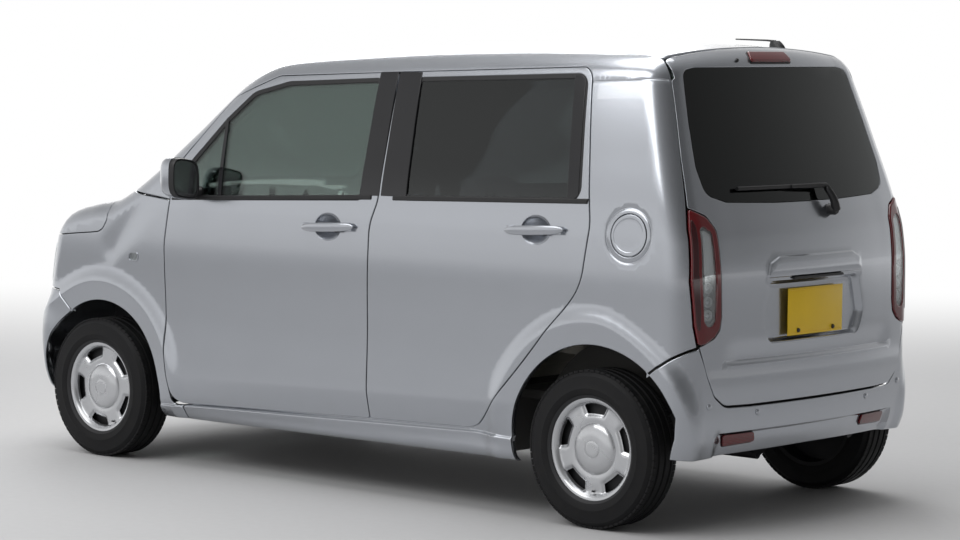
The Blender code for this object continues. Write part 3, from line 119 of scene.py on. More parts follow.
@dataclass(frozen=True)
class BodyForm:
    """The car's rounded outer form, as distances outside four soft-edged surfaces."""

    side: tuple = (
        (0.17, 0.64), (0.19, 0.676), (0.215, 0.702), (0.262, 0.719), (0.385, 0.7225),
        (0.6, 0.718), (0.82, 0.722), (1.0, 0.716), (1.1, 0.706), (1.3, 0.667),
        (1.5, 0.621), (1.6, 0.592), (1.72, 0.545),
    )
    plan: tuple = (
        (-1.75, 0.925), (-1.45, 0.975), (-1.15, 0.998), (-0.7, 1.0), (0.7, 1.0),
        (1.0, 0.99), (1.26, 0.98), (1.5, 0.965), (1.75, 0.945),
    )
    top: tuple = (
        (-1.75, 1.6), (-1.5, 1.65), (-1.25, 1.668), (-0.9, 1.675), (-0.4, 1.666),
        (0.0, 1.648), (0.25, 1.632), (0.38, 1.617), (0.47, 1.59), (0.8, 1.346),
        (1.0, 1.192), (1.14, 1.099), (1.22, 1.062), (1.34, 1.039), (1.46, 1.011),
        (1.55, 0.966), (1.62, 0.902), (1.68, 0.815), (1.76, 0.68),
    )
    drop: tuple = (
        (-1.75, 0.04), (-1.5, 0.04), (-1.25, 0.045), (-0.9, 0.05), (0.38, 0.05),
        (0.8, 0.048), (1.0, 0.044), (1.14, 0.038), (1.34, 0.034), (1.76, 0.034),
    )
    rear: tuple = (
        (0.18, -1.6), (0.27, -1.67), (0.33, -1.69), (0.43, -1.6975), (0.65, -1.6965),
        (0.88, -1.693), (1.0, -1.681), (1.1, -1.652), (1.35, -1.565), (1.58, -1.487),
        (1.72, -1.445),
    )
    front: tuple = (
        (0.18, 1.6), (0.26, 1.668), (0.4, 1.692), (0.52, 1.6975), (0.62, 1.69),
        (0.72, 1.672), (0.85, 1.645), (1.0, 1.61), (1.72, 1.48),
    )
    curves: dict = field(default_factory=dict)

    def __post_init__(self) -> None:
        """Fits a smooth curve to each profile."""
        for name in ("side", "plan", "top", "drop", "rear", "front"):
            self.curves[name] = monotone(getattr(self, name))

    @staticmethod
    def join(a: Array, b: Array, radius: float) -> Array:
        """The larger of two distances, rounded where both are near."""
        both = (a > -radius) & (b > -radius)
        return np.where(both, np.hypot(a + radius, b + radius) - radius, np.maximum(a, b))

    def outside(self, p: Array) -> Array:
        """Distance of each point outside the form, negative inside."""
        x, y, z = p[:, 0], p[:, 1], p[:, 2]
        c = self.curves
        bow = (y / 0.6) ** 2
        side = np.abs(y) - c["side"](z) * c["plan"](x)
        slope = (c["top"](x + 0.01) - c["top"](x - 0.01)) / 0.02
        top = (z - c["top"](x) + c["drop"](x) * bow) / np.sqrt(1 + slope**2)
        ends = self.join(side, c["rear"](z) + 0.045 * bow - x, 0.085)
        ends = self.join(ends, x - c["front"](z) + 0.045 * bow, 0.08)
        return self.join(ends, top, 0.06)

    def cast(self, starts: Array, directions: Array, inset: Array) -> Array:
        """Where rays from inside meet the form moved in by inset."""
        low, high = np.zeros(len(starts)), np.full(len(starts), 2.2)
        for _ in range(11):
            middle = (low + high) / 2
            inside = self.outside(starts + directions * middle[:, None]) + inset < 0
            low, high = np.where(inside, middle, low), np.where(inside, high, middle)
        a = self.outside(starts + directions * low[:, None]) + inset
        b = self.outside(starts + directions * high[:, None]) + inset
        for _ in range(4):
            middle = low + (high - low) * np.clip(a / np.minimum(a - b, -1e-12), 0.02, 0.98)
            f = self.outside(starts + directions * middle[:, None]) + inset
            inside = f < 0
            low, a = np.where(inside, middle, low), np.where(inside, f, a)
            high, b = np.where(inside, high, middle), np.where(inside, b, f)
        best = np.where(np.abs(a) < np.abs(b), low, high)
        return starts + directions * best[:, None]

    def slope(self, p: Array) -> Array:
        """The form's outward unit normal at each point."""
        e = 0.0015
        return unit(columns(*(self.outside(p + d) - self.outside(p - d) for d in np.eye(3) * e)))


FORM = BodyForm()


@dataclass(frozen=True)
class Chart:
    """Flat coordinates on the form, with the ray that leads out through each of them."""

    def rays(self, uv: Array) -> tuple[Array, Array]:
        """Start and direction of the ray through each flat point."""
        raise NotImplementedError

    def flat(self, p: Array) -> Array:
        """The flat coordinates of points near the form."""
        raise NotImplementedError

    def place(self, uv: Array, inset: Array | float = 0.0) -> Array:
        """Points in space at a depth below the form."""
        starts, directions = self.rays(np.asarray(uv, float))
        return FORM.cast(starts, directions, np.broadcast_to(inset, len(starts)).astype(float))


@dataclass(frozen=True)
class WrapChart(Chart):
    """Runs round the car's left side: u is x along the side, then turns each corner as a fan.

    Heights above the level turn over the roof's edge as a fan too. A whole-width end is charted
    from its middle with the sign of y, by origin.
    """

    rear_x: float = -1.25
    front_x: float = 1.3
    inner_y: float = 0.42
    rear_fan: float = 0.42
    front_fan: float = 0.32
    top_fan: float = 0.24
    origin: Optional[str] = None

    @property
    def rear_end(self) -> float:
        """u at the middle of the rear."""
        return self.rear_x - QUARTER * self.rear_fan - self.inner_y

    @property
    def front_end(self) -> float:
        """u at the middle of the front."""
        return self.front_x + QUARTER * self.front_fan + self.inner_y

    def level(self, x: Array) -> Array:
        """The height at which the fan over the roof's edge starts."""
        return np.minimum(FORM.curves["top"](np.clip(x, self.rear_x, self.front_x)) - 0.24, 1.41)

    def local(self, u: Array) -> tuple[Array, Array]:
        """The signed or middle-based coordinate as u on the left side, with its sign of y."""
        sign = np.where(u < 0, -1.0, 1.0)
        if self.origin == "rear":
            return self.rear_end + np.abs(u), sign
        if self.origin == "front":
            return self.front_end - np.abs(u), sign
        return u, np.ones(len(u))

    def rays(self, uv: Array) -> tuple[Array, Array]:
        """Start and direction of the ray through each flat point."""
        u, sign = self.local(uv[:, 0])
        v = uv[:, 1]
        ar = np.clip((self.rear_x - u) / self.rear_fan, 0, QUARTER)
        af = np.clip((u - self.front_x) / self.front_fan, 0, QUARTER)
        x = np.clip(u, self.rear_x, self.front_x)
        y = np.minimum(self.inner_y, u - self.rear_end)
        y = np.minimum(y, self.front_end - u)
        dx = np.sin(af) - np.sin(ar)
        dy = np.cos(ar) * np.cos(af) * sign
        level = self.level(x)
        rise = np.maximum((v - level) / self.top_fan, 0)
        d = columns(dx * np.cos(rise), dy * np.cos(rise), np.sin(rise))
        return columns(x, y * sign, np.minimum(v, level)), d

    def flat(self, p: Array) -> Array:
        """The flat coordinates of points near the form."""
        p = np.asarray(p, float)
        x, z = p[:, 0], p[:, 2]
        y = np.abs(p[:, 1]) if self.origin else p[:, 1]
        sign = np.where(p[:, 1] < 0, -1.0, 1.0)
        dy = y - self.inner_y
        back, fore = self.rear_x - x, x - self.front_x
        lift = np.maximum(dy, 0)
        turn_r = QUARTER - np.arctan2(lift, np.maximum(back, 1e-9))
        turn_f = QUARTER - np.arctan2(lift, np.maximum(fore, 1e-9))
        u = np.where(back > 0, self.rear_x - turn_r * self.rear_fan, x)
        u = np.where((back > 0) & (dy < 0), u + dy, u)
        u = np.where(fore > 0, self.front_x + turn_f * self.front_fan, u)
        u = np.where((fore > 0) & (dy < 0), u - dy, u)
        out = np.where(back > 0, np.hypot(lift, back), np.where(fore > 0, np.hypot(lift, fore), dy))
        level = self.level(x)
        rise = np.arctan2(z - level, np.maximum(out, 1e-9))
        v = np.where(z > level, level + rise * self.top_fan, z)
        if self.origin == "rear":
            u = (u - self.rear_end) * sign
        if self.origin == "front":
            u = (self.front_end - u) * sign
        return columns(u, v)


@dataclass(frozen=True)
class TopChart(Chart):
    """Plan view: u is x and v is y, with rays straight up."""

    def rays(self, uv: Array) -> tuple[Array, Array]:
        """Start and direction of the ray through each flat point."""
        n = len(uv)
        start = columns(uv[:, 0], uv[:, 1], np.full(n, 0.5))
        return start, np.tile((0.0, 0.0, 1.0), (n, 1))

    def flat(self, p: Array) -> Array:
        """The flat coordinates of points near the form."""
        return np.asarray(p, float)[:, :2]


FLANK = WrapChart()
REAR = WrapChart(origin="rear")
FRONT = WrapChart(origin="front")
PLAN = TopChart()


# ---------------------------------------------------------------- outlines


def filleted(rows: Rows, closed: bool = True) -> Array:
    """An outline whose corners are turned into arcs.

    Args:
        rows: corners (u, v, radius), where the radius may be left out.
        closed: False for an open line.
    Returns:
        The outline's points.
    """
    pts = [Vector(r[:2]) for r in rows]
    made: list[Vector] = []
    for i, row in enumerate(rows):
        radius = row[2] if len(row) > 2 else 0.0
        here = pts[i]
        if radius <= 0 or (not closed and i in (0, len(rows) - 1)):
            made.append(here)
            continue
        before, after = pts[i - 1] - here, pts[(i + 1) % len(pts)] - here
        half = before.angle(after) / 2
        back = min(radius / math.tan(half), before.length * 0.49, after.length * 0.49)
        radius = back * math.tan(half)
        middle = (before.normalized() + after.normalized()).normalized()
        centre = here + middle * (radius / math.sin(half))
        start = here + before.normalized() * back - centre
        toward = here - centre
        sweep = math.copysign(math.pi - 2 * half, start.x * toward.y - start.y * toward.x)
        steps = max(3, int(abs(sweep) * max(radius, 0.01) / 0.005), int(abs(sweep) / 0.2))
        for n in range(steps + 1):
            made.append(centre + Matrix.Rotation(sweep * n / steps, 2) @ start)
    return np.array([tuple(p) for p in made])


def thinned(line: Array, gap: float) -> Array:
    """A line without the points that lie nearer than gap to the last one kept."""
    keep = [0]
    for i in range(1, len(line)):
        if np.linalg.norm(line[i] - line[keep[-1]]) > gap:
            keep.append(i)
    return line[keep]


def dense(points: Array, spacing: float, closed: bool = True) -> Array:
    """The same line with no stretch longer than spacing."""
    points = np.asarray(points, float)
    ends = np.roll(points, -1, axis=0) if closed else points[1:]
    made = []
    for a, b in zip(points, ends):
        n = max(1, math.ceil(float(np.linalg.norm(b - a)) / spacing))
        made.extend(a + (b - a) * k / n for k in range(n))
    if not closed:
        made.append(points[-1])
    least = 2e-4
    made = thinned(np.array(made), least)
    if closed and np.linalg.norm(made[-1] - made[0]) < least:
        made = made[:-1]
    return made


def wound(loop: Array, left: bool = True) -> Array:
    """The loop running with its inside on the left, or on the right."""
    nxt = np.roll(loop, -1, axis=0)
    area = float(np.sum(loop[:, 0] * nxt[:, 1] - loop[:, 1] * nxt[:, 0]))
    return loop if (area > 0) == left else loop[::-1].copy()


def moved(loop: Array, amount: float) -> Array:
    """A closed loop moved to its left by amount, which is inwards on one that winds left."""
    into = loop - np.roll(loop, 1, axis=0)
    out = np.roll(loop, -1, axis=0) - loop
    into = unit(into)
    out = unit(out)
    n = columns(-(into + out)[:, 1], (into + out)[:, 0])
    n = unit(n)
    reach = np.maximum(np.sum(n * columns(-into[:, 1], into[:, 0]), axis=1), 0.5)
    return loop + n * (amount / reach)[:, None]


def grown(loop: Array, amount: float) -> Array:
    """A closed loop made larger by amount all round."""
    return moved(wound(loop), -amount)


def line_distance(p: Array, line: Array, closed: bool) -> Array:
    """Distance from each point to a line."""
    a = line if closed else line[:-1]
    b = np.roll(line, -1, axis=0) if closed else line[1:]
    best = np.full(len(p), 1e9)
    ab = b - a
    length = np.maximum(np.sum(ab * ab, axis=1), 1e-14)
    for start in range(0, len(p), 4000):
        q = p[start:start + 4000, None, :]
        t = np.clip(np.sum((q - a) * ab, axis=2) / length, 0, 1)
        d = np.linalg.norm(q - a - t[..., None] * ab, axis=2)
        best[start:start + 4000] = d.min(axis=1)
    return best


def within(p: Array, loops: Iterable[Array]) -> Array:
    """Whether each point lies inside an odd number of the loops."""
    odd = np.zeros(len(p), bool)
    for loop in loops:
        a, b = loop, np.roll(loop, -1, axis=0)
        for (ax, ay), (bx, by) in zip(a, b):
            if ay == by:
                continue
            crosses = (ay > p[:, 1]) != (by > p[:, 1])
            odd ^= crosses & (p[:, 0] < (bx - ax) * (p[:, 1] - ay) / (by - ay) + ax)
    return odd


def trace(chart: Chart, view: str, points: Array, sign: float = 1.0) -> Array:
    """Flat coordinates of points given in a plain view of the car.

    Args:
        chart: the chart to trace on.
        view: side with (x, z), rear or front with (y, z), or top with (x, y).
        points: the points in that view.
        sign: the sign of y in the side view.
    Returns:
        The points on the chart.
    """
    points = np.asarray(points, float)
    n = len(points)
    a, b = points[:, 0], points[:, 1]
    zero = np.zeros(n)
    start, direction = {
        "side": (columns(a, zero, b), (0.0, sign, 0.0)),
        "rear": (columns(zero - 1.1, a, b), (-1.0, 0.0, 0.0)),
        "front": (columns(zero + 1.1, a, b), (1.0, 0.0, 0.0)),
        "top": (columns(a, b, zero + 0.5), (0.0, 0.0, 1.0)),
    }[view]
    return chart.flat(FORM.cast(start, np.tile(direction, (n, 1)), np.zeros(n)))


def traced(chart: Chart, view: str, rows: Rows, spacing: float = 0.012) -> Array:
    """An open line given in a plain view, on a chart."""
    return trace(chart, view, dense(rows, spacing, False))


def triangulated(points: list, edges: list, loops: list) -> tuple[Array, Array, dict]:
    """Triangles between loops, over points and fixed edges.

    Args:
        points: flat points.
        edges: pairs of their indices that the triangles keep.
        loops: the outline and its holes.
    Returns:
        The flat points, the triangles, and where each given point went.
    """
    out, _, tris, origin, _, _ = delaunay_2d_cdt([Vector(p) for p in points], edges, [], 0, 1e-6)
    uv = np.array([tuple(p) for p in out])
    tri = np.array([t[:3] for t in tris])
    tri = tri[within(uv[tri].mean(axis=1), loops)]
    return uv, tri, {old: new for new, olds in enumerate(origin) for old in olds}


def fenced(loops: list) -> tuple[list, list]:
    """The points of closed loops, and the edges between them."""
    points: list = []
    edges: list = []
    for loop in loops:
        n, base = len(loop), len(points)
        points.extend(map(tuple, loop))
        edges.extend((base + i, base + (i + 1) % n) for i in range(n))
    return points, edges


# ---------------------------------------------------------------- meshes


@dataclass
class Shell:
    """Vertices, faces and, where known, exact normals of a mesh under construction."""

    points: Array
    faces: list
    normals: Optional[Array] = None

    def plus(self, other: "Shell") -> "Shell":
        """This shell and another as one."""
        shift = len(self.points)
        faces = self.faces + [[i + shift for i in f] for f in other.faces]
        a = self.normals if self.normals is not None else np.zeros_like(self.points)
        b = other.normals if other.normals is not None else np.zeros_like(other.points)
        return Shell(np.vstack([self.points, other.points]), faces, np.vstack([a, b]))

    def mirrored(self) -> "Shell":
        """The shell on the car's other side."""
        flip = np.array((1.0, -1.0, 1.0))
        normals = None if self.normals is None else self.normals * flip
        return Shell(self.points * flip, [list(reversed(f)) for f in self.faces], normals)

    def at(self, matrix: Matrix) -> "Shell":
        """The shell moved and turned."""
        m = np.array(matrix)
        points = self.points @ m[:3, :3].T + m[:3, 3]
        normals = None if self.normals is None else self.normals @ m[:3, :3].T
        faces = self.faces if np.linalg.det(m[:3, :3]) > 0 else [f[::-1] for f in self.faces]
        return Shell(points, faces, normals)

    def on(self, side: Side) -> "Shell":
        """The shell, built for the left, on the given side."""
        return self if side is Side.LEFT else self.mirrored()


def together(shells: Iterable[Shell]) -> Shell:
    """Several shells as one."""
    made = None
    for shell in shells:
        made = shell if made is None else made.plus(shell)
    return made


def from_bmesh(bm: bmesh.types.BMesh) -> Shell:
    """A shell from a bmesh, which is freed."""
    bmesh.ops.remove_doubles(bm, verts=bm.verts[:], dist=1e-6)
    bmesh.ops.recalc_face_normals(bm, faces=bm.faces[:])
    bm.verts.index_update()
    points = np.array([tuple(v.co) for v in bm.verts])
    faces = [[v.index for v in f.verts] for f in bm.faces]
    bm.free()
    return Shell(points, faces)


@dataclass
class Relief:
    """A rise or hollow on a sheet, with lines that the mesh follows."""

    height: Callable[[Array], Array]
    lines: list = field(default_factory=list)


def smooth_step(t: Array) -> Array:
    """A soft step from 0 to 1."""
    t = np.clip(t, 0, 1)
    return t * t * (3 - 2 * t)


def dish(loop: Array, depth: float, wall: float) -> Relief:
    """A hollow with a flat floor and a rounded wall."""
    loop = wound(dense(loop, 0.008))

    def height(uv: Array) -> Array:
        """How far the hollow lowers each point."""
        inside = within(uv, [loop])
        d = line_distance(uv, loop, True)
        return np.where(inside, -depth * smooth_step(d / wall), 0.0)

    lines = [(loop, True)]
    for share in (0.25, 0.5, 0.75, 1.0):
        lines.append((moved(loop, wall * share), True))
    return Relief(height, lines)


def bowl(centre: Sequence[float], radii: Sequence[float], depth: float) -> Relief:
    """A round hollow, deepest in its middle."""
    c, r = np.array(centre), np.array(radii)

    def height(uv: Array) -> Array:
        """How far the hollow lowers each point."""
        q = np.sum(((uv - c) / r) ** 2, axis=1)
        return np.where(q < 1, -depth * (1 - q) ** 0.75 * smooth_step((1 - q) / 0.25), 0.0)

    rings = [(c + r * s * circle(40), True) for s in (1.03, 1.0, 0.94, 0.86, 0.75, 0.6, 0.4, 0.2)]
    return Relief(height, rings)


def swell(centre: Sequence[float], radii: Sequence[float], rise: float) -> Relief:
    """A soft swelling that fades out to its edge."""
    c, r = np.array(centre), np.array(radii)

    def height(uv: Array) -> Array:
        """How far the swelling lifts each point."""
        q = np.sum(((uv - c) / r) ** 2, axis=1)
        return rise * np.clip(1 - q, 0, None) ** 2

    return Relief(height, [(c + r * s * circle(36), True) for s in (0.9, 0.6, 0.3)])


def ridge(line: Array, rise: float, width: float, closed: bool = False) -> Relief:
    """A low rounded ridge along a line, or a valley where rise is negative."""
    line = np.asarray(line, float)

    def height(uv: Array) -> Array:
        """The ridge's height at each point."""
        return rise * np.exp(-((line_distance(uv, line, closed) / width) ** 2))

    return Relief(height, [])


def circle(count: int, start: float = 0.0) -> Array:
    """Points of a unit circle."""
    a = start + np.arange(count) * 2 * math.pi / count
    return columns(np.cos(a), np.sin(a))


@dataclass
class Sheet:
    """A curved panel on the form: closed, with thickness and rolled edges."""

    chart: Chart
    outline: Array
    holes: list = field(default_factory=list)
    depth: float = 0.0
    thickness: float = 0.012
    roll: float = 0.003
    spacing: float = 0.018
    reliefs: list = field(default_factory=list)

    def relief(self, uv: Array) -> Array:
        """The height of all reliefs at each flat point."""
        total = np.zeros(len(uv))
        for r in self.reliefs:
            total += r.height(uv)
        return total

    def place(self, uv: Array, extra: float) -> Array:
        """Points at an extra depth below the sheet's outer face."""
        return self.chart.place(uv, self.depth + extra - self.relief(uv))

    def shell(self) -> Shell:
        """The finished mesh."""
        loops = [wound(dense(self.outline, self.spacing * 0.6))]
        loops += [wound(dense(h, self.spacing * 0.6), left=False) for h in self.holes]
        rings = [moved(loop, self.roll) for loop in loops]
        inputs, edges = fenced(rings)
        ring_count = len(inputs)
        fences = [(ring, True) for ring in rings]
        for relief in self.reliefs:
            for line, closed in relief.lines:
                line = dense(line, self.spacing * 0.7, closed)
                clear = within(line, rings)
                for ring in rings:
                    clear &= line_distance(line, ring, True) > self.spacing * 0.2
                n, base = len(line), len(inputs)
                inputs.extend(map(tuple, line))
                clear_list = clear.tolist()
                for i in range(n if closed else n - 1):
                    if clear_list[i] and clear_list[(i + 1) % n]:
                        edges.append((base + i, base + (i + 1) % n))
                if clear.all():
                    fences.append((line, closed))
        low, high = rings[0].min(axis=0), rings[0].max(axis=0)
        us = np.arange(low[0] + self.spacing / 2, high[0], self.spacing)
        vs = np.arange(low[1] + self.spacing / 2, high[1], self.spacing)
        grid = np.stack(np.meshgrid(us, vs), axis=-1).reshape(-1, 2)
        grid = grid[within(grid, rings)]
        for line, closed in fences:
            if not len(grid):
                break
            grid = grid[line_distance(grid, line, closed) > self.spacing * 0.45]
        inputs.extend(map(tuple, grid))
        arr = np.array(inputs)
        inside = within(arr, rings)
        keep = [i for i in range(len(inputs)) if i < ring_count or inside[i]]
        index = {old: new for new, old in enumerate(keep)}
        edges = [(index[a], index[b]) for a, b in edges if a in index and b in index]
        uv, tri, where = triangulated([inputs[i] for i in keep], edges, rings)
        flat_a, flat_b, flat_c = uv[tri[:, 0]], uv[tri[:, 1]], uv[tri[:, 2]]
        area = np.cross(flat_b - flat_a, flat_c - flat_a)
        tri = np.where((area > 0)[:, None], tri, tri[:, ::-1])[np.abs(area) > TINY]
        return self.closed(uv, tri, loops, rings, where)

    def closed(self, uv: Array, tri: Array, loops: list, rings: list, where: dict) -> Shell:
        """Front, rolled rim and back as one closed shell.

        Args:
            uv: flat points of the front.
            tri: its triangles.
            loops: the sheet's edges.
            rings: the same edges moved in by the roll.
            where: index in uv of each ring point, in order.
        Returns:
            The shell.
        """
        front = self.place(uv, 0.0)
        back = self.place(uv, self.thickness)
        n = len(uv)
        parts, faces = [front, back], []
        sample = front[tri[: min(len(tri), 50)]]
        cross = np.cross(sample[:, 1] - sample[:, 0], sample[:, 2] - sample[:, 0])
        facing = float(np.sum(cross * FORM.slope(sample.mean(axis=1)))) > 0
        order = (lambda f: f) if facing else (lambda f: f[::-1])
        for t in tri.tolist():
            faces.append(order([t[0], t[1], t[2]]))
            faces.append(order([t[2] + n, t[1] + n, t[0] + n]))
        total, base = 2 * n, 0
        for loop, ring in zip(loops, rings):
            count = len(ring)
            ids = [where[base + i] for i in range(count)]
            base += count
            rows = [ids]
            for angle in (0.52, 1.05, QUARTER):
                at = ring + (loop - ring) * math.sin(angle)
                parts.append(self.place(at, self.roll * (1 - math.cos(angle))))
                rows.append(list(range(total, total + count)))
                total += count
            parts.append(self.place(loop, self.thickness))
            rows.append(list(range(total, total + count)))
            total += count
            rows.append([i + n for i in ids])
            for upper, lower in zip(rows, rows[1:]):
                for i in range(count):
                    j = (i + 1) % count
                    if upper[i] != upper[j] or lower[i] != lower[j]:
                        faces.append(order([upper[i], lower[i], lower[j], upper[j]]))
        points = np.vstack(parts)
        normal = np.zeros((len(points), 3))
        normal[:n] = self.normals(uv, facing)
        return Shell(points, faces, normal)

    def normals(self, uv: Array, facing: bool) -> Array:
        """Exact normals of the outer face, from steps along the sheet."""
        e = 0.0012
        du = self.place(uv + (e, 0), 0.0) - self.place(uv - (e, 0), 0.0)
        dv = self.place(uv + (0, e), 0.0) - self.place(uv - (0, e), 0.0)
        n = unit(np.cross(du, dv))
        return n if facing else -n


def sheet(chart: Chart, outline: Array, holes: Sequence[Array] = (), **sizes: object) -> Shell:
    """The finished mesh of one sheet."""
    return Sheet(chart, outline, list(holes), **sizes).shell()


def solid(points: Array, faces: list) -> Shell:
    """A shell of points and faces, with doubles merged and all faces outwards."""
    bm = bmesh.new()
    verts = [bm.verts.new(p) for p in points]
    for f in faces:
        bm.faces.new([verts[i] for i in f])
    return from_bmesh(bm)


def loft(rings: Sequence[Array], caps: bool = True, loop: bool = False) -> Shell:
    """A skin over rings of equal count.

    Args:
        rings: the rings, each an array of points.
        caps: whether both ends are closed with a fan.
        loop: whether the last ring joins the first.
    Returns:
        The shell.
    """
    count, total = len(rings[0]), len(rings)
    faces = []
    for k in range(total if loop else total - 1):
        a, b = k * count, (k + 1) % total * count
        for i in range(count):
            j = (i + 1) % count
            faces.append([a + i, a + j, b + j, b + i])
    if caps and not loop:
        faces.append(list(range(count))[::-1])
        faces.append([(total - 1) * count + i for i in range(count)])
    return solid(np.vstack(rings), faces)


def lathe(profile: Rows, count: int = 48, closed: bool = True) -> Shell:
    """A profile of (radius, y) turned about the Y axis, as a ring where closed."""
    ring = circle(count)
    rings = [columns(r * ring[:, 0], np.full(count, y), r * ring[:, 1]) for r, y in profile]
    return loft(rings, caps=not closed, loop=closed)


def tube(path: Rows, radius: float | Sequence[float], sides: int = 10) -> Shell:
    """A round bar along a path, with one radius or one for each point."""
    path = np.asarray(path, float)
    radii = np.broadcast_to(radius, len(path))
    tangent = np.gradient(path, axis=0)
    tangent /= np.linalg.norm(tangent, axis=1, keepdims=True)
    guide = np.array((0.0, 0.0, 1.0)) if abs(tangent[0, 2]) < 0.9 else np.array((1.0, 0.0, 0.0))
    rings = []
    for p, t, r in zip(path, tangent, radii):
        across = np.cross(t, guide)
        across /= np.linalg.norm(across)
        up = np.cross(across, t)
        ring = circle(sides)
        rings.append(p + r * (ring[:, :1] * across + ring[:, 1:] * up))
    return loft(rings)


def block(low: Sequence[float], high: Sequence[float], bevel: float = 0.003,
          steps: int = 2) -> Shell:
    """A box between two corners with rounded edges."""
    bm = bmesh.new()
    bmesh.ops.create_cube(bm, size=1.0)
    for v in bm.verts:
        v.co = [a + (b - a) * (c + 0.5) for a, b, c in zip(low, high, v.co)]
    bmesh.ops.bevel(bm, geom=bm.edges[:], offset=bevel, segments=steps, profile=0.5, affect="EDGES")
    return from_bmesh(bm)


def slab(outline: Array, low: float, high: float, axis: str = "Z", bevel: float = 0.002) -> Shell:
    """A flat outline given depth along an axis, with softened rims."""
    outline = wound(np.asarray(outline, float))
    levels = ((0, bevel), (bevel * 0.3, bevel * 0.3), (bevel, 0))
    rows = [(low + a, b) for a, b in levels] + [(high - a, b) for a, b in reversed(levels)]
    rings = []
    for at, inwards in rows:
        ring = moved(outline, inwards)
        flat = np.full(len(ring), at)
        u, v = ring[:, 0], ring[:, 1]
        rings.append(np.stack({"X": [flat, u, v], "Y": [u, flat, v], "Z": [u, v, flat]}[axis], 1))
    return loft(rings)


# ---------------------------------------------------------------- finishes


class Wire:
    """A shader value that takes part in arithmetic."""

    def __init__(self, tree: "Graph", socket: bpy.types.NodeSocket) -> None:
        self.tree, self.socket = tree, socket

    def maths(self, operation: str, *others: "Wire | float", flip: bool = False) -> "Wire":
        """One Math node of this value and others."""
        values = [self, *others]
        if flip:
            values.reverse()
        return self.tree.node("ShaderNodeMath", dict(enumerate(values)), operation=operation)

    def __add__(self, other: "Wire | float") -> "Wire":
        """The sum."""
        return self.maths("ADD", other)

    __radd__ = __add__

    def __mul__(self, other: "Wire | float") -> "Wire":
        """The product."""
        return self.maths("MULTIPLY", other)

    __rmul__ = __mul__

    def __sub__(self, other: "Wire | float") -> "Wire":
        """This value less another."""
        return self.maths("SUBTRACT", other)

    def __rsub__(self, other: "Wire | float") -> "Wire":
        """Another value less this one."""
        return self.maths("SUBTRACT", other, flip=True)

    def __truediv__(self, other: "Wire | float") -> "Wire":
        """This value over another."""
        return self.maths("DIVIDE", other)

    def __rtruediv__(self, other: "Wire | float") -> "Wire":
        """Another value over this one."""
        return self.maths("DIVIDE", other, flip=True)

    def step(self, low: float, high: float) -> "Wire":
        """0 below low, 1 above high and soft between."""
        inputs = {"Value": self, "From Min": low, "From Max": high}
        return self.tree.node("ShaderNodeMapRange", inputs, interpolation_type="SMOOTHSTEP")


class Graph:
    """A node tree under construction."""

    def __init__(self, tree: bpy.types.NodeTree) -> None:
        self.nodes, self.links = tree.nodes, tree.links

    def find(self, kind: str) -> bpy.types.Node:
        """The first node of a type."""
        return next(n for n in self.nodes if n.type == kind)

    def node(
        self, kind: str, inputs: Optional[dict] = None, out: int | str = 0,
        stops: Rows = (), **settings: object,
    ) -> Wire:
        """A node of any kind, with its inputs wired or set.

        Args:
            kind: the node's type.
            inputs: values or wires by input name or number.
            out: the output to hand back.
            stops: a grey ramp's (position, level).
            **settings: the node's own properties.
        Returns:
            The chosen output.
        """
        made = self.nodes.new(kind)
        for key, value in settings.items():
            setattr(made, key, value)
        if stops:
            ramp = made.color_ramp
            ramp.interpolation = "EASE"
            while len(ramp.elements) < len(stops):
                ramp.elements.new(0.5)
            for element, (at, level) in zip(ramp.elements, stops):
                element.position, element.color = at, (level, level, level, 1)
        self.fill(made, inputs or {})
        return Wire(self, made.outputs[out])

    def fill(self, node: bpy.types.Node, inputs: dict) -> None:
        """Wires or sets a node's inputs."""
        for key, value in inputs.items():
            if isinstance(value, Wire):
                self.links.new(value.socket, node.inputs[key])
            else:
                node.inputs[key].default_value = value


class Tree(Graph):
    """The node tree of one material, round a Principled shader."""

    def __init__(self, name: str) -> None:
        self.material = bpy.data.materials.new(name)
        self.material.use_nodes = True
        super().__init__(self.material.node_tree)
        self.shader = self.find("BSDF_PRINCIPLED")

    def body(self) -> Wire:
        """The Principled shader's output."""
        return Wire(self, self.shader.outputs[0])

    def blend(self, share: Wire, first: Wire, second: Wire) -> None:
        """Ends the material in a mix of two shaders, with second at a share of 1."""
        mixed = self.node("ShaderNodeMixShader", {0: share, 1: first, 2: second})
        self.fill(self.find("OUTPUT_MATERIAL"), {0: mixed})

    def place(self) -> Wire:
        """Object coordinates."""
        return self.node("ShaderNodeTexCoord", out="Object")

    def height(self) -> Wire:
        """Height above the ground."""
        return self.node("ShaderNodeSeparateXYZ", {0: self.place()}, out="Z")

    def noise(self, scale: float, detail: float = 3.0, rough: float = 0.5) -> Wire:
        """Noise from 0 to 1."""
        inputs = {"Vector": self.place(), "Scale": scale, "Detail": detail, "Roughness": rough}
        return self.node("ShaderNodeTexNoise", inputs)

    def cells(self, scale: float, out: str = "Distance", feature: str = "F1") -> Wire:
        """Distance or colour of scattered cells."""
        inputs = {"Vector": self.place(), "Scale": scale}
        return self.node("ShaderNodeTexVoronoi", inputs, out=out, feature=feature)

    def mix(self, share: "Wire | float", a: "Sequence | Wire", b: "Sequence | Wire") -> Wire:
        """A colour between a and b."""
        inputs = {0: share, 6: a, 7: b}
        return self.node("ShaderNodeMix", inputs, out=2, data_type="RGBA")

    def bump(self, height: Wire, distance: float, strength: float = 1.0) -> Wire:
        """A normal from a height."""
        inputs = {"Height": height, "Distance": distance, "Strength": strength}
        return self.node("ShaderNodeBump", inputs)

    def set(self, **inputs: object) -> None:
        """Sets or wires the Principled shader's inputs, with underscores for spaces."""
        self.fill(self.shader, {key.replace("_", " "): value for key, value in inputs.items()})


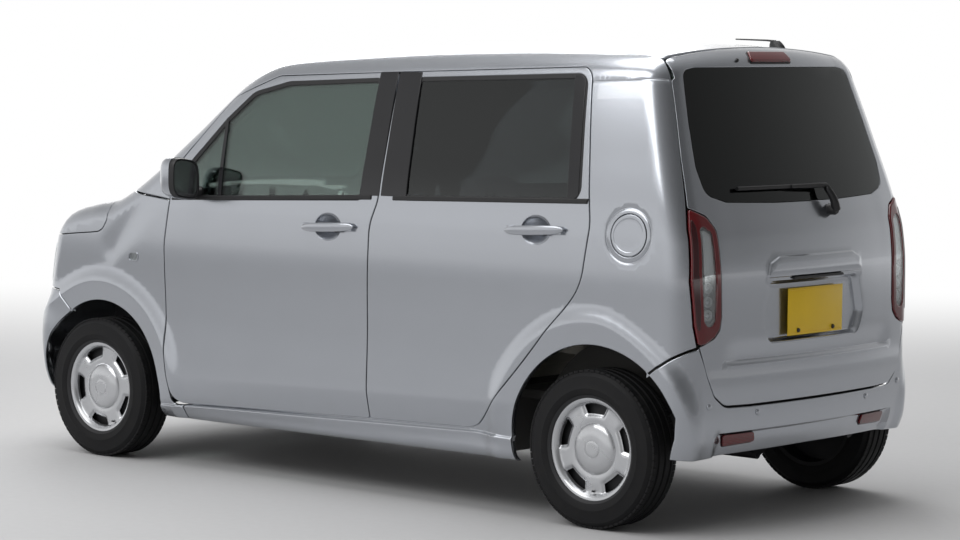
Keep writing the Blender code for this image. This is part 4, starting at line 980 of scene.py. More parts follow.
def rgba(colour: Sequence[float]) -> tuple:
    """A colour with full alpha."""
    return (*colour[:3], 1.0)


def scaled(colour: Sequence[float], by: float) -> tuple:
    """A colour made lighter or darker."""
    return rgba([c * by for c in colour[:3]])


MATERIALS: dict = {}


@dataclass(frozen=True)
class Finish:
    """A surface with its base colour."""

    name: str
    colour: tuple = (0.5, 0.5, 0.5)
    roughness: float = 0.4
    grain: float = 0.0

    def material(self) -> bpy.types.Material:
        """The finish's material, made once."""
        if self.name not in MATERIALS:
            tree = Tree(self.name)
            self.build(tree)
            MATERIALS[self.name] = tree.material
        return MATERIALS[self.name]

    def build(self, tree: Tree) -> None:
        """A plain surface with uneven gloss and a fine grain."""
        blotch = tree.noise(9.0)
        tree.set(
            Base_Color=tree.mix(blotch, scaled(self.colour, 0.92), scaled(self.colour, 1.08)),
            Roughness=blotch * 0.1 + (self.roughness - 0.05),
        )
        if self.grain:
            tree.set(Normal=tree.bump(tree.noise(1100.0, 2.0), self.grain, 0.5))


@dataclass(frozen=True)
class Paint(Finish):
    """Metallic paint with fine flakes under a clear coat."""

    metallic: float = 0.92

    def build(self, tree: Tree) -> None:
        """Flakes, faint dust low down and a coat with slight unevenness."""
        low = 1.0 - tree.height().step(0.18, 0.42)
        dust = low * tree.noise(9.0, 3.0).step(0.35, 0.9) * 0.1
        flake = tree.cells(2600.0, out="Color")
        sparkle = tree.node("ShaderNodeSeparateXYZ", {0: flake}, out="X")
        base = tree.mix(sparkle, scaled(self.colour, 0.9), scaled(self.colour, 1.08))
        tree.set(
            Base_Color=tree.mix(dust, base, rgba((0.34, 0.33, 0.31))),
            Metallic=self.metallic - dust,
            Roughness=tree.noise(7.0) * 0.04 + dust * 0.5 + self.roughness,
            Coat_Weight=1.0 - dust,
            Coat_Roughness=0.035,
        )


@dataclass(frozen=True)
class Metal(Finish):
    """Bare or plated metal."""

    def build(self, tree: Tree) -> None:
        """Metal with faint smears."""
        smear = tree.noise(26.0, 4.0)
        tree.set(
            Base_Color=tree.mix(smear, scaled(self.colour, 0.9), scaled(self.colour, 1.05)),
            Metallic=1.0,
            Roughness=smear * 0.12 + (self.roughness - 0.06),
        )


@dataclass(frozen=True)
class Rubber(Finish):
    """Tyre rubber, dusty on its tread."""

    def build(self, tree: Tree) -> None:
        """Dark rubber with dust and a pebbled grain."""
        dust = tree.noise(18.0, 6.0, 0.65).step(0.42, 0.8)
        tree.set(
            Base_Color=tree.mix(dust * 0.5, rgba(self.colour), rgba((0.022, 0.021, 0.02))),
            Roughness=dust * 0.15 + self.roughness,
            Specular_IOR_Level=0.22,
            Normal=tree.bump(tree.noise(420.0, 2.0), 0.0004, 0.6),
        )


@dataclass(frozen=True)
class Glass(Finish):
    """Thin glass: a tinted see-through sheet with a mirror-like face."""

    mirror: float = 0.9

    def build(self, tree: Tree) -> None:
        """See-through and mirror shares by angle."""
        fresnel = tree.node("ShaderNodeFresnel", {"IOR": 1.5})
        share = fresnel * self.mirror + 0.015
        clear = tree.node("ShaderNodeBsdfTransparent", {"Color": rgba(self.colour)})
        tree.set(
            Base_Color=rgba((0.9, 0.93, 0.93)),
            Metallic=1.0,
            Roughness=tree.noise(3.0) * 0.004 + self.roughness,
        )
        tree.blend(share, clear, tree.body())


@dataclass(frozen=True)
class Lens(Finish):
    """A coloured lamp lens, lit a little by its own depth."""

    clear: float = 0.5

    def build(self, tree: Tree) -> None:
        """A glossy body mixed with a see-through one."""
        tint = tree.node("ShaderNodeBsdfTransparent", {"Color": rgba(self.colour)})
        ribs = tree.node(
            "ShaderNodeTexWave",
            {"Vector": tree.place(), "Scale": 60.0},
            out="Fac", bands_direction="Z",
        )
        tree.set(
            Base_Color=tree.mix(ribs * 0.25, rgba(self.colour), scaled(self.colour, 0.55)),
            Roughness=tree.noise(6.0) * 0.03 + self.roughness,
            Coat_Weight=1.0,
            Coat_Roughness=0.02,
        )
        edge = tree.node("ShaderNodeFresnel", {"IOR": 1.5})
        share = edge * (self.clear * 0.8) + (1.0 - self.clear)
        tree.blend(share, tint, tree.body())


@dataclass(frozen=True)
class Fabric(Finish):
    """Woven seat cloth."""

    def build(self, tree: Tree) -> None:
        """A fine weave with soft mottling."""
        inputs = {"Vector": tree.place(), "Scale": 260.0, "Distortion": 1.5, "Detail": 2.0}
        across = tree.node("ShaderNodeTexWave", inputs, out="Fac", bands_direction="X")
        along = tree.node("ShaderNodeTexWave", inputs, out="Fac", bands_direction="Z")
        weave = across.maths("MAXIMUM", along)
        tree.set(
            Base_Color=tree.mix(weave, scaled(self.colour, 0.72), scaled(self.colour, 1.1)),
            Roughness=self.roughness,
            Sheen_Weight=0.3,
            Normal=tree.bump(weave, 0.0006, 0.6),
        )


PAINT = Paint("silver_paint", (0.435, 0.455, 0.492), 0.22)
BLACK = Finish("black_plastic", (0.01, 0.01, 0.011), 0.4, 0.0003)
GLOSS = Finish("gloss_black", (0.012, 0.012, 0.014), 0.12)
SEAL = Finish("rubber_seal", (0.008, 0.008, 0.009), 0.55, 0.0002)
TRIM = Finish("door_trim", (0.3, 0.285, 0.25), 0.6, 0.0004)
INNER = Finish("interior_plastic", (0.075, 0.072, 0.068), 0.55, 0.0004)
LINING = Finish("roof_lining", (0.42, 0.4, 0.36), 0.85, 0.0006)
CARPET = Fabric("floor_carpet", (0.06, 0.058, 0.055), 0.95)
TYRE = Rubber("tyre_rubber", (0.008, 0.008, 0.009), 0.58)
COVER = Paint("wheel_silver", (0.56, 0.57, 0.59), 0.25, metallic=0.88)
WHITE = Finish("lamp_white", (0.8, 0.81, 0.82), 0.22)
STEEL = Finish("dark_metal", (0.016, 0.016, 0.018), 0.6, 0.0006)
CHROME = Metal("bright_metal", (0.83, 0.84, 0.86), 0.12)
ZINC = Metal("plated_steel", (0.52, 0.52, 0.5), 0.38)
CLEAR = Glass("clear_glass", (0.72, 0.8, 0.76), 0.004)
TINTED = Glass("privacy_glass", (0.22, 0.23, 0.24), 0.004, mirror=1.0)
CLEAR_LENS = Glass("clear_lens", (0.97, 0.975, 0.98), 0.006, mirror=0.6)
RED_LENS = Lens("red_lens", (0.15, 0.001, 0.004), 0.05, clear=0.1)
DARK_RED = Lens("dark_red_lens", (0.045, 0.001, 0.003), 0.06, clear=0.1)
PLATE = Finish("plate_yellow", (0.95, 0.62, 0.015), 0.36)
CLOTH = Fabric("seat_fabric", (0.46, 0.44, 0.385), 0.85)


# ---------------------------------------------------------------- pieces


def added(name: str, data: bpy.types.ID) -> bpy.types.Object:
    """A new object in the scene."""
    obj = bpy.data.objects.new(name, data)
    bpy.context.scene.collection.objects.link(obj)
    return obj


def emit(
    name: str,
    parts: Sequence[tuple[Shell, Finish]] | Shell,
    body: str,
    stands_for: Sequence[str] = (),
    finish: Optional[Finish] = None,
    crease: float = 32.0,
) -> bpy.types.Object:
    """Makes one piece and hangs it on a body.

    Args:
        name: the piece's name.
        parts: one shell, or shells with their finishes.
        body: the CAD body that carries it.
        stands_for: CAD nodes that it replaces.
        finish: the finish of a single shell.
        crease: the angle above which an edge is sharp, in degrees.
    Returns:
        The object.
    """
    rows = [(parts, finish)] if isinstance(parts, Shell) else list(parts)
    whole = together([shell for shell, _ in rows])
    mesh = bpy.data.meshes.new(name)
    mesh.from_pydata(whole.points.tolist(), [], whole.faces)
    looks = list(dict.fromkeys(look for _, look in rows))
    for look in looks:
        mesh.materials.append(look.material())
    index = [looks.index(look) for shell, look in rows for _ in shell.faces]
    mesh.polygons.foreach_set("material_index", index)
    mesh.polygons.foreach_set("use_smooth", [True] * len(mesh.polygons))
    mesh.set_sharp_from_angle(angle=math.radians(crease))
    if whole.normals is not None and np.any(whole.normals):
        mesh.normals_split_custom_set_from_vertices(whole.normals.tolist())
    mesh.update()
    obj = added(name, mesh)
    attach(obj, body)
    if stands_for:
        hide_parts(*stands_for)
    LOG.info("piece %s on %s: %d triangles", name, body, sum(len(f) - 2 for f in whole.faces))
    return obj


def layers(chart: Chart, spacing: float, *rows: tuple) -> list:
    """Sheets with their finishes.

    Args:
        chart: the chart they lie on.
        spacing: how far apart their points stand.
        *rows: outline, holes, depth, thickness, roll and finish of each.
    Returns:
        Pairs of shell and finish.
    """
    made = []
    for outline, holes, depth, thick, roll, look in rows:
        sizes = dict(depth=depth, thickness=thick, roll=roll, spacing=spacing)
        made.append((sheet(chart, outline, holes, **sizes), look))
    return made


def sided(parts: Sequence, s: Side) -> list:
    """Shells with finishes, built for the left, on the given side."""
    return [(shell.on(s), look) for shell, look in parts]


# ---------------------------------------------------------------- outer lines

GAP = 0.0022
B_LINE = (
    (-0.204, 0.283), (-0.203, 0.387, 0.3), (-0.203, 0.734, 0.4), (-0.206, 0.993, 0.2),
    (-0.24, 1.085, 0.1), (-0.254, 1.556),
)
FRONT_EDGE = (
    (0.36, 1.53, 0.1), (0.585, 1.445, 0.1), (0.862, 1.15, 0.04), (0.862, 1.04, 0.05),
    (0.887, 0.866, 0.25), (0.872, 0.45, 0.3), (0.846, 0.246, 0.075),
)
REAR_EDGE = (
    (-0.725, 0.297, 0.1), (-1.206, 0.83, 0.22), (-1.238, 1.05, 0.2), (-1.152, 1.589, 0.055),
)
FRONT_GLASS = (
    (-0.16, 1.519, 0.012), (0.3, 1.497, 0.15), (0.47, 1.455, 0.1), (0.592, 1.352, 0.05),
    (0.812, 1.12, 0.02), (0.8, 1.062, 0.015), (0.59, 1.066), (-0.148, 1.098, 0.012),
)
REAR_GLASS = (
    (-0.364, 1.525, 0.012), (-1.126, 1.552, 0.036), (-1.174, 1.136, 0.038), (-0.376, 1.108, 0.012),
)
AXLE_X = {"front": 1.26, "rear": -1.26}
AXLE_Z = 0.276
ARCH = {"front": 0.345, "rear": 0.36}
CREST = {"front": 0.42, "rear": 0.435}
DITCH = 0.528


def side(rows: Rows, closed: bool = True, spacing: float = 0.012) -> Array:
    """A side view outline on the side chart."""
    return trace(FLANK, "side", dense(filleted(rows, closed), spacing, closed))


def door_rows(end: str) -> list:
    """One door's outline in the side view."""
    if end == "front":
        return [(*B_LINE[-1], 0.012), *FRONT_EDGE, (*B_LINE[0], 0.012), *B_LINE[1:-1]]
    shut = list(reversed(B_LINE[1:-1]))
    return [(*B_LINE[-1], 0.012), *shut, (*B_LINE[0], 0.012), *REAR_EDGE]


def arch_arc(end: str, start: float, stop: float, count: int = 40) -> Array:
    """Part of a wheel arch's opening in the side view, by angles in degrees from forwards."""
    a = np.radians(np.linspace(start, stop, count))
    r = ARCH[end]
    return columns(AXLE_X[end] + r * np.cos(a), AXLE_Z + r * np.sin(a))


def flare(end: str) -> Relief:
    """The swollen lip round a wheel arch, in side coordinates."""
    centre = np.array((AXLE_X[end], AXLE_Z))
    crest = CREST[end]

    def height(uv: Array) -> Array:
        """How far the lip stands out."""
        r = np.linalg.norm(uv - centre, axis=1)
        outer = 0.016 * (1 - smooth_step((r - crest) / 0.075)) ** 1.3
        inner = 0.016 - 0.15 * np.maximum(crest - r, 0)
        return np.where(r > crest, outer, inner)

    lines = []
    for r in (crest - 0.004, crest + 0.004, crest + 0.03, crest + 0.06, crest + 0.09):
        lines.append((centre + circle(90) * r, True))
    return Relief(height, lines)


def lower_tuck() -> Relief:
    """The crease low on the doors, with the side tucked in below it and the sill standing out."""
    rows = [(-1.3, 0.43), (-0.758, 0.401), (-0.187, 0.384), (0.842, 0.358), (1.2, 0.345)]
    edge = np.array([(-0.98, 0.276), (-0.725, 0.288), (-0.204, 0.274), (0.7, 0.246), (0.92, 0.236)])

    def height(uv: Array) -> Array:
        """The tuck's depth."""
        crease = np.interp(uv[:, 0], [r[0] for r in rows], [r[1] for r in rows])
        below = crease - uv[:, 1]
        tuck = -0.19 * 0.5 * (below + np.sqrt(below**2 + 0.006**2))
        lip = np.interp(uv[:, 0], edge[:, 0], edge[:, 1])
        sill = 0.016 * smooth_step((lip - uv[:, 1] + 0.006) / 0.012)
        mid = smooth_step((uv[:, 0] + 1.02) / 0.22) * (1 - smooth_step((uv[:, 0] - 0.82) / 0.16))
        low = smooth_step((lip - uv[:, 1] - 0.02) / 0.05)
        return (tuck * (1 - 0.55 * low) + sill) * mid

    lines = []
    for shift in (-0.008, 0.0, 0.008):
        lines.append((dense([(u, v + shift) for u, v in rows], 0.02, False), False))
    for shift in (-0.007, 0.0, 0.007):
        lines.append((dense(edge + (0, shift), 0.02, False), False))
    return Relief(height, lines)


def on_end(relief: Relief, chart: WrapChart) -> Relief:
    """A side relief carried over to an end's chart, on both sides."""
    toward, end = {"rear": (1, chart.rear_end), "front": (-1, chart.front_end)}[chart.origin]

    def height(uv: Array) -> Array:
        """The side relief at the matching place."""
        return relief.height(columns(end + toward * np.abs(uv[:, 0]), uv[:, 1]))

    lines = []
    for line, closed in relief.lines:
        for sign in (toward, -toward):
            lines.append((columns((line[:, 0] - end) * sign, line[:, 1]), closed))
    return Relief(height, lines)


def aimed(at: Array) -> Matrix:
    """The move that stands a lathed piece on the form at a point."""
    out = Vector(FORM.slope(at[None])[0])
    return Matrix.Translation(at) @ Vector((0, 1, 0)).rotation_difference(out).to_matrix().to_4x4()


FLARES = {end: flare(end) for end in ("front", "rear")}
TUCK = lower_tuck()


@dataclass
class Door:
    """One left door, which the right one mirrors: skin, glass, seals, trim and handle."""

    end: str
    glass: Sequence
    tint: Glass
    handle: tuple
    keyhole: bool

    def __post_init__(self) -> None:
        """Traces the door's outline and window on the chart."""
        self.outline = grown(side(door_rows(self.end)), -GAP)
        self.window = side(self.glass)

    def skin(self) -> Shell:
        """The painted outer panel with the handle's bowl."""
        low, high, z = self.handle
        centre = ((low + high) / 2 + (0.008 if self.keyhole else 0.0), z)
        reliefs = [TUCK, FLARES[self.end], bowl(centre, (0.07, 0.053), 0.017)]
        opening = grown(self.window, 0.0135)
        return sheet(
            FLANK, self.outline, [opening], thickness=0.024, spacing=0.02, reliefs=reliefs
        )

    def seals(self) -> Shell:
        """The black seal round the glass and the belt strip below it."""
        ring = sheet(
            FLANK, grown(self.window, 0.015), [grown(self.window, -0.003)],
            depth=0.0015, thickness=0.008, roll=0.002, spacing=0.02,
        )
        low = self.window[:, 1].min()
        near = self.window[self.window[:, 1] < low + 0.055]
        left, right = near[:, 0].min(), near[:, 0].max()
        if self.end == "front":
            rows = [(left - 0.06, 1.1065), (right + 0.036, 1.0555), (right + 0.04, 1.04),
                    (left - 0.06, 1.0885)]
        else:
            rows = [(right + 0.06, 1.1085), (right + 0.06, 1.0905), (left - 0.05, 1.119),
                    (left - 0.056, 1.137)]
        strip = sheet(
            FLANK, dense(filleted([(*r, 0.004) for r in rows]), 0.02),
            depth=-0.005, thickness=0.014, roll=0.004, spacing=0.02,
        )
        return ring.plus(strip)

    def garnish(self) -> Shell:
        """The black pillar covers of the door's frame."""
        if self.end == "front":
            rows = [(-0.16, 1.552, 0.004), (-0.25, 1.5535, 0.004), (-0.2465, 1.104, 0.004),
                    (-0.15, 1.1, 0.004)]
            more = [(0.607, 1.352, 0.003), (0.59, 1.372, 0.003), (0.577, 1.06, 0.003),
                    (0.597, 1.06, 0.003)]
            sail = [(0.815, 1.128, 0.01), (0.85, 1.09, 0.03), (0.85, 1.045, 0.006),
                    (0.7, 1.05, 0.006), (0.715, 1.085, 0.05)]
            rows_list = [(rows, -0.002), (more, 0.0), (sail, -0.003)]
        else:
            rows = [(-0.257, 1.5535, 0.004), (-0.366, 1.5555, 0.004), (-0.38, 1.106, 0.004),
                    (-0.2535, 1.104, 0.004)]
            more = [(-1.079, 1.557, 0.006), (-1.13, 1.557, 0.034), (-1.178, 1.134, 0.03),
                    (-1.127, 1.132, 0.004)]
            rows_list = [(rows, -0.002), (more, -0.0005)]
        shells = []
        for rows, depth in rows_list:
            shells.append(sheet(
                FLANK, side(rows), depth=depth, thickness=0.01, roll=0.0025, spacing=0.025,
            ))
        return together(shells)

    def pane(self) -> Shell:
        """The window glass."""
        return sheet(
            FLANK, grown(self.window, 0.002), depth=0.0045, thickness=0.0038, roll=0.0008,
            spacing=0.04,
        )

    def trim(self) -> Shell:
        """The inner panel."""
        return sheet(
            FLANK, grown(self.outline, -0.02), [grown(self.window, 0.012)],
            depth=0.0242, thickness=0.04, roll=0.006, spacing=0.035,
        )

    def bar(self) -> tuple[Shell, Shell]:
        """The pull handle and, on the front door, the keyhole's dark disc."""
        low, high, z = self.handle
        span = high - low
        y = float(FLANK.place(np.array([[(low + high) / 2, z]]))[0, 1])
        rings = []
        for t in np.linspace(-1, 1, 25):
            x = (low + high) / 2 + t * span / 2
            edge = math.sqrt(max(0.0, 1 - abs(t) ** 7))
            tall = (0.0155 + 0.0015 * math.cos(2 * t)) * max(edge, 0.25)
            arc = 0.014 * (1 - t * t) + 0.012
            thick = 0.0075 * max(edge, 0.35)
            ring = circle(20)
            ring = np.sign(ring) * np.abs(ring) ** 0.65
            tilt = (t * span / 2) * -0.05
            rings.append(columns(
                np.full(20, x), y + arc + ring[:, 0] * thick, z + tilt + ring[:, 1] * tall))
        shells = [loft(rings)]
        feet = (low + 0.02, high - 0.02)
        for x in feet:
            shells.append(block((x - 0.014, y - 0.01, z - 0.011), (x + 0.014, y + 0.016, z + 0.011),
                                0.004))
        if self.keyhole:
            x = low + 0.04
            line = lathe([(0, 0.0225), (0.0065, 0.0225), (0.008, 0.021), (0.008, 0.012),
                          (0, 0.012)], 24, False)
            key = line.at(Matrix.Translation((x, y, z - 0.002)))
        else:
            key = block((low + 0.06, y + 0.0228, z - 0.001), (low + 0.07, y + 0.0232, z + 0.001),
                        0.0002)
        join = (low + 0.078, y + 0.004, z - 0.017), (low + 0.0795, y + 0.0262, z + 0.0165)
        return together(shells), key.plus(block(*join, 0.0004))

    def build(self) -> None:
        """Makes both sides' pieces."""
        skin, seals, garnish = self.skin(), self.seals(), self.garnish()
        pane, trim = self.pane(), self.trim()
        bar, key = self.bar()
        for s in Side:
            tag = f"{self.end}_{s.word}"
            body = f"door_{tag}"
            emit(f"door_skin_{tag}", skin.on(s), body, [body], PAINT)
            emit(f"door_seals_{tag}", seals.on(s), body, finish=SEAL)
            emit(f"door_garnish_{tag}", garnish.on(s), body, finish=GLOSS)
            emit(f"door_pane_{tag}", pane.on(s), body, [f"door_glass_{tag}"], self.tint)
            emit(f"door_trim_{tag}", trim.on(s), body, finish=TRIM)
            emit(f"door_handle_{tag}", [(bar.on(s), PAINT), (key.on(s), BLACK)], body)


@dataclass
class BodySide:
    """The left body side with its pillars, quarter and sill, which the right one mirrors."""

    lid_place: tuple = (-1.4, 1.02)
    lid_radius: float = 0.072
    ring_radius: float = 0.0935

    def lid_loop(self, radius: float, spacing: float = 0.01) -> Array:
        """A circle round the fuel lid's middle."""
        loop = np.array(self.lid_place) + radius * circle(72)
        return trace(FLANK, "side", dense(loop, spacing))

    def outline(self) -> Array:
        """The C-shaped skin's edge."""
        doors = filleted([(0.862, 1.042), *reversed(FRONT_EDGE[:3]), (-1.152, 1.589, 0.055),
                          *reversed(REAR_EDGE[:-1]), (-0.204, 0.283, 0.05), (0.79, 0.248)], False)
        arc = arch_arc("rear", 127, -13, 60)
        start = np.array([(0.79, 0.186), (-0.905, 0.2)])
        lines = [traced(FLANK, "top", [(1.128, 0.603), (0.452, 0.54)]),
                 traced(FLANK, "top", [(0.44, DITCH), (-1.405, DITCH)]),
                 traced(FLANK, "rear", [(0.541, 1.575), (0.544, 1.547), (0.566, 1.432),
                                        (0.596, 1.282), (0.627, 1.119)]),
                 traced(FLANK, "rear", [(0.641, 1.047), (0.65, 0.874), (0.639, 0.723),
                                        (0.626, 0.654)]),
                 traced(FLANK, "side", [(-1.6405, 0.6495), (-1.517, 0.581), (-1.4835, 0.5535)]),
                 traced(FLANK, "side", arc), traced(FLANK, "side", start[::-1]),
                 traced(FLANK, "side", doors[::-1]),
                 traced(FLANK, "side", [(0.872, 1.0425), (1.15, 1.0725)])]
        return np.vstack(lines)

    def skin(self, lid: bool) -> Shell:
        """The painted skin, open for the fuel lid on the left."""
        seam = np.vstack([side([(-1.162, 1.538), (-1.3, 1.5425)], False),
                          trace(FLANK, "rear", [(0.552, 1.546)])])
        groove = ridge(seam, -0.0022, 0.0022)
        groove.lines = [(seam + (0, s), False) for s in (-0.004, -0.002, 0.0, 0.002, 0.004)]
        ring = self.lid_loop(self.ring_radius, 0.008)
        hollow = ridge(ring, -0.0028, 0.0034, closed=True)
        hollow.lines = [(grown(ring, s), True) for s in (-0.005, -0.0025, 0.0, 0.0025, 0.005)]
        reliefs = [TUCK, FLARES["rear"], groove] + ([hollow] if lid else [])
        cover = moved(wound(thinned(self.outline(), 0.002)), GAP * 0.6)
        holes = [grown(self.lid_loop(self.lid_radius), GAP)] if lid else []
        return sheet(FLANK, cover, holes, thickness=0.022, spacing=0.02, reliefs=reliefs)

    def rebate(self) -> Shell:
        """The recessed wall behind the doors, with both doorways."""
        rows = [(-1.42, 0.62), (-1.42, 1.5), (-1.24, 1.6), (0.3, 1.565), (0.52, 1.5),
                (0.7, 1.31), (0.7, 1.16), (0.752, 1.1), (0.752, 0.215), (-0.86, 0.23),
                (-0.94, 0.55), (-1.14, 0.66)]
        front = [(0.33, 1.48, 0.06), (0.56, 1.38, 0.06), (0.68, 1.21, 0.05),
                 (0.7, 0.42, 0.1), (0.62, 0.33, 0.08), (-0.13, 0.35, 0.05),
                 (-0.105, 0.8, 0.1), (-0.13, 1.02, 0.1), (-0.15, 1.5, 0.02)]
        rear = [(-0.206, 1.51, 0.02), (-0.2, 1.02, 0.1), (-0.196, 0.36, 0.05),
                (-0.68, 0.365, 0.06), (-1.12, 0.86, 0.12), (-1.15, 1.06, 0.12),
                (-1.1, 1.525, 0.05)]
        return sheet(FLANK, side([(*r, 0.01) for r in rows]), [side(front), side(rear)],
                     depth=0.0265, thickness=0.006, roll=0.002, spacing=0.04)

    def lid(self) -> Shell:
        """The round fuel lid, raised a little in its ring."""
        loop = self.lid_loop(self.lid_radius)
        return sheet(FLANK, loop, thickness=0.012, roll=0.003, spacing=0.02,
                     reliefs=[dish(grown(loop, -0.012), 0.0012, 0.004)])

    def build(self) -> None:
        """Makes both body sides and the left lid."""
        rebate, lid = self.rebate(), self.lid()
        for s in Side:
            skin = self.skin(s is Side.LEFT)
            emit(f"body_side_skin_{s.word}", skin.on(s), "chassis", [f"body_side_{s.word}"], PAINT)
            emit(f"door_frame_{s.word}", rebate.on(s), "chassis", finish=PAINT)
        emit("fuel_lid_skin", lid, "fuel_lid", ["fuel_lid"], PAINT)


def slat(half: float, z: float) -> Array:
    """A level slat's outline on the front chart, 8 mm tall."""
    rows = [(-half, z - 0.004), (half, z - 0.004), (half, z + 0.004), (-half, z + 0.004)]
    return trace(FRONT, "front", dense(rows, 0.02))


@dataclass
class Nose:
    """Fenders, bonnet, headlamps, grille and front bumper."""

    lamp_top: float = 0.853
    lamp_in: float = 0.4

    def fender(self) -> Shell:
        """The left fender, which wraps forward over the lamp."""
        top = traced(FLANK, "top", [(1.158, 0.6045), (1.228, 0.6045)])
        lamp = traced(FLANK, "front", [(0.562, 0.8535), (0.64, 0.853), (0.6615, 0.829),
                                       (0.666, 0.76), (0.66, 0.688), (0.643, 0.658)])
        seam = traced(FLANK, "side", [(1.5155, 0.648), (1.445, 0.568)])
        arc = trace(FLANK, "side", arch_arc("front", 57, 194, 60))
        back = side([(0.9215, 0.186), (0.79, 0.186), (0.79, 0.248), (0.846, 0.246, 0.075),
                     (0.872, 0.45, 0.3), (0.887, 0.866, 0.25), (0.862, 1.04, 0.01), (1.15, 1.07)],
                    False)
        line = np.vstack([top, self.shut_line(), lamp, seam, arc, back])
        line = wound(thinned(line, 0.002))
        valley = ridge(side([(0.93, 1.12), (1.05, 0.99), (1.2, 0.83)], False), -0.005, 0.045)
        return sheet(FLANK, moved(line, GAP), [self.marker_loop()], thickness=0.012, spacing=0.02,
                     reliefs=[FLARES["front"], TUCK, valley])

    def shut_line(self) -> Array:
        """The bonnet's edge down the fender and forward to the lamp."""
        rows = [(1.23, 1.0), (1.233, 0.945, 0.02), (1.256, 0.911, 0.03), (1.28, 0.898, 0.04),
                (1.332, 0.8918, 0.1), (1.395, 0.8864), (1.478, 0.8779), (1.53, 0.873)]
        nose = [(0.655, 0.869), (0.6, 0.86), (0.562, 0.8565)]
        return np.vstack([trace(FLANK, "side", dense(filleted(rows, False), 0.012, False)),
                          trace(FLANK, "front", dense(nose, 0.012, False))])

    def marker_loop(self) -> Array:
        """The small side lamp's outline."""
        rows = [(1.041, 0.792), (1.094, 0.79), (1.094, 0.822), (1.041, 0.824)]
        return trace(FLANK, "side", filleted([(*r, 0.012) for r in rows]))

    def marker(self) -> list:
        """The small side lamp in its rim."""
        loop = self.marker_loop()
        return layers(
            FLANK, 0.02,
            (grown(loop, 0.003), [grown(loop, -0.002)], -0.0025, 0.01, 0.0012, PAINT),
            (grown(loop, -0.0012), (), -0.0015, 0.003, 0.001, CLEAR_LENS),
            (loop, (), 0.006, 0.003, 0.001, CHROME),
        )

    def bonnet(self) -> Shell:
        """The bonnet, with a raised middle."""
        half = 0.6
        rear = [(1.228, y) for y in np.linspace(half, -half, 60)]
        front = trace(PLAN, "front",
                      [(y, self.lamp_top + 0.002) for y in np.linspace(-0.555, 0.555, 60)])
        edge = trace(PLAN, "front", [(0.596, 0.858)])[0]
        left = dense([(edge[0], half), (1.228, half)], 0.015, False)
        right = dense([(1.228, -half), (edge[0], -half)], 0.015, False)
        line = np.vstack([rear[1:-1], right, front, left])
        creases = []
        for s in (1, -1):
            creases.append(ridge(np.array([(1.2, s * 0.475), (1.45, s * 0.44), (1.66, s * 0.4)]),
                                 0.0045, 0.03))
        top = sheet(PLAN, wound(line), thickness=0.012, roll=0.0004, spacing=0.028, reliefs=creases)
        upper = trace(FLANK, "top", dense([(edge[0], half), (1.228, half)], 0.015, False))
        wing = np.vstack([upper, self.shut_line()[:-3]])
        flank = sheet(FLANK, wound(wing), thickness=0.01, roll=0.0004, spacing=0.02)
        return top.plus(flank).plus(flank.mirrored())

    def lamp_loop(self) -> Array:
        """The left headlamp's outline."""
        outer = traced(FLANK, "front", [(0.638, 0.85), (0.659, 0.827), (0.6635, 0.76),
                                                  (0.6575, 0.69), (0.641, 0.6615)])
        low = traced(FLANK, "front", [(0.56, 0.659), (self.lamp_in, 0.67)])
        up = traced(FLANK, "front", [(self.lamp_in, 0.838), (0.56, 0.8505)])
        return wound(np.vstack([outer, low, up]))

    def headlamp(self) -> list:
        """Lens, dark housing, bright surround, projector and reflector."""
        loop = self.lamp_loop()
        rows = layers(
            FLANK, 0.025,
            (grown(loop, 0.0005), [grown(loop, -0.007)], 0.001, 0.03, 0.002, GLOSS),
            (grown(loop, -0.001), (), 0.04, 0.006, 0.002, GLOSS),
            (loop, (), -0.004, 0.0035, 0.0012, CLEAR_LENS),
        )
        turn = Matrix.Rotation(-QUARTER, 4, "Z")
        for y, r in ((0.59, 0.056), (0.48, 0.05)):
            x = float(FLANK.place(trace(FLANK, "front", [(y, 0.756)]), 0.05)[0, 0])
            bowl_ = lathe([(r, 0.036), (r * 1.04, 0.036), (r * 1.04, 0.006), (r * 0.4, -0.02),
                           (r * 0.36, -0.016), (r * 0.96, 0.008)], 48)
            ball = lathe([(0, 0.02), (r * 0.3, 0.017), (r * 0.52, 0.004), (r * 0.52, -0.012),
                          (0, -0.012)], 36, False)
            lean = Matrix.Translation((x, y, 0.756)) @ Matrix.Rotation(0.16, 4, "Z") @ turn
            rows.append((bowl_.at(lean), CHROME))
            rows.append((ball.at(lean), CLEAR_LENS))
        return rows

    def grille(self) -> list:
        """The dark grille between the lamps with its bright bar."""
        rows = [(-0.392, 0.668), (0.392, 0.668), (0.392, 0.842), (-0.392, 0.842)]
        loop = trace(FRONT, "front", dense(filleted([(*r, 0.012) for r in rows]), 0.012))
        parts = layers(FRONT, 0.03, (loop, [grown(loop, -0.012)], -0.002, 0.026, 0.004, PAINT))
        parts += layers(FRONT, 0.04, (grown(loop, -0.004), (), 0.03, 0.004, 0.001, BLACK))
        for z in (0.705, 0.733, 0.761, 0.789, 0.817):
            bar = slat(0.382, z)
            look = CHROME if z == 0.761 else GLOSS
            parts += layers(FRONT, 0.03, (bar, (), 0.006, 0.018, 0.003, look))
        return parts

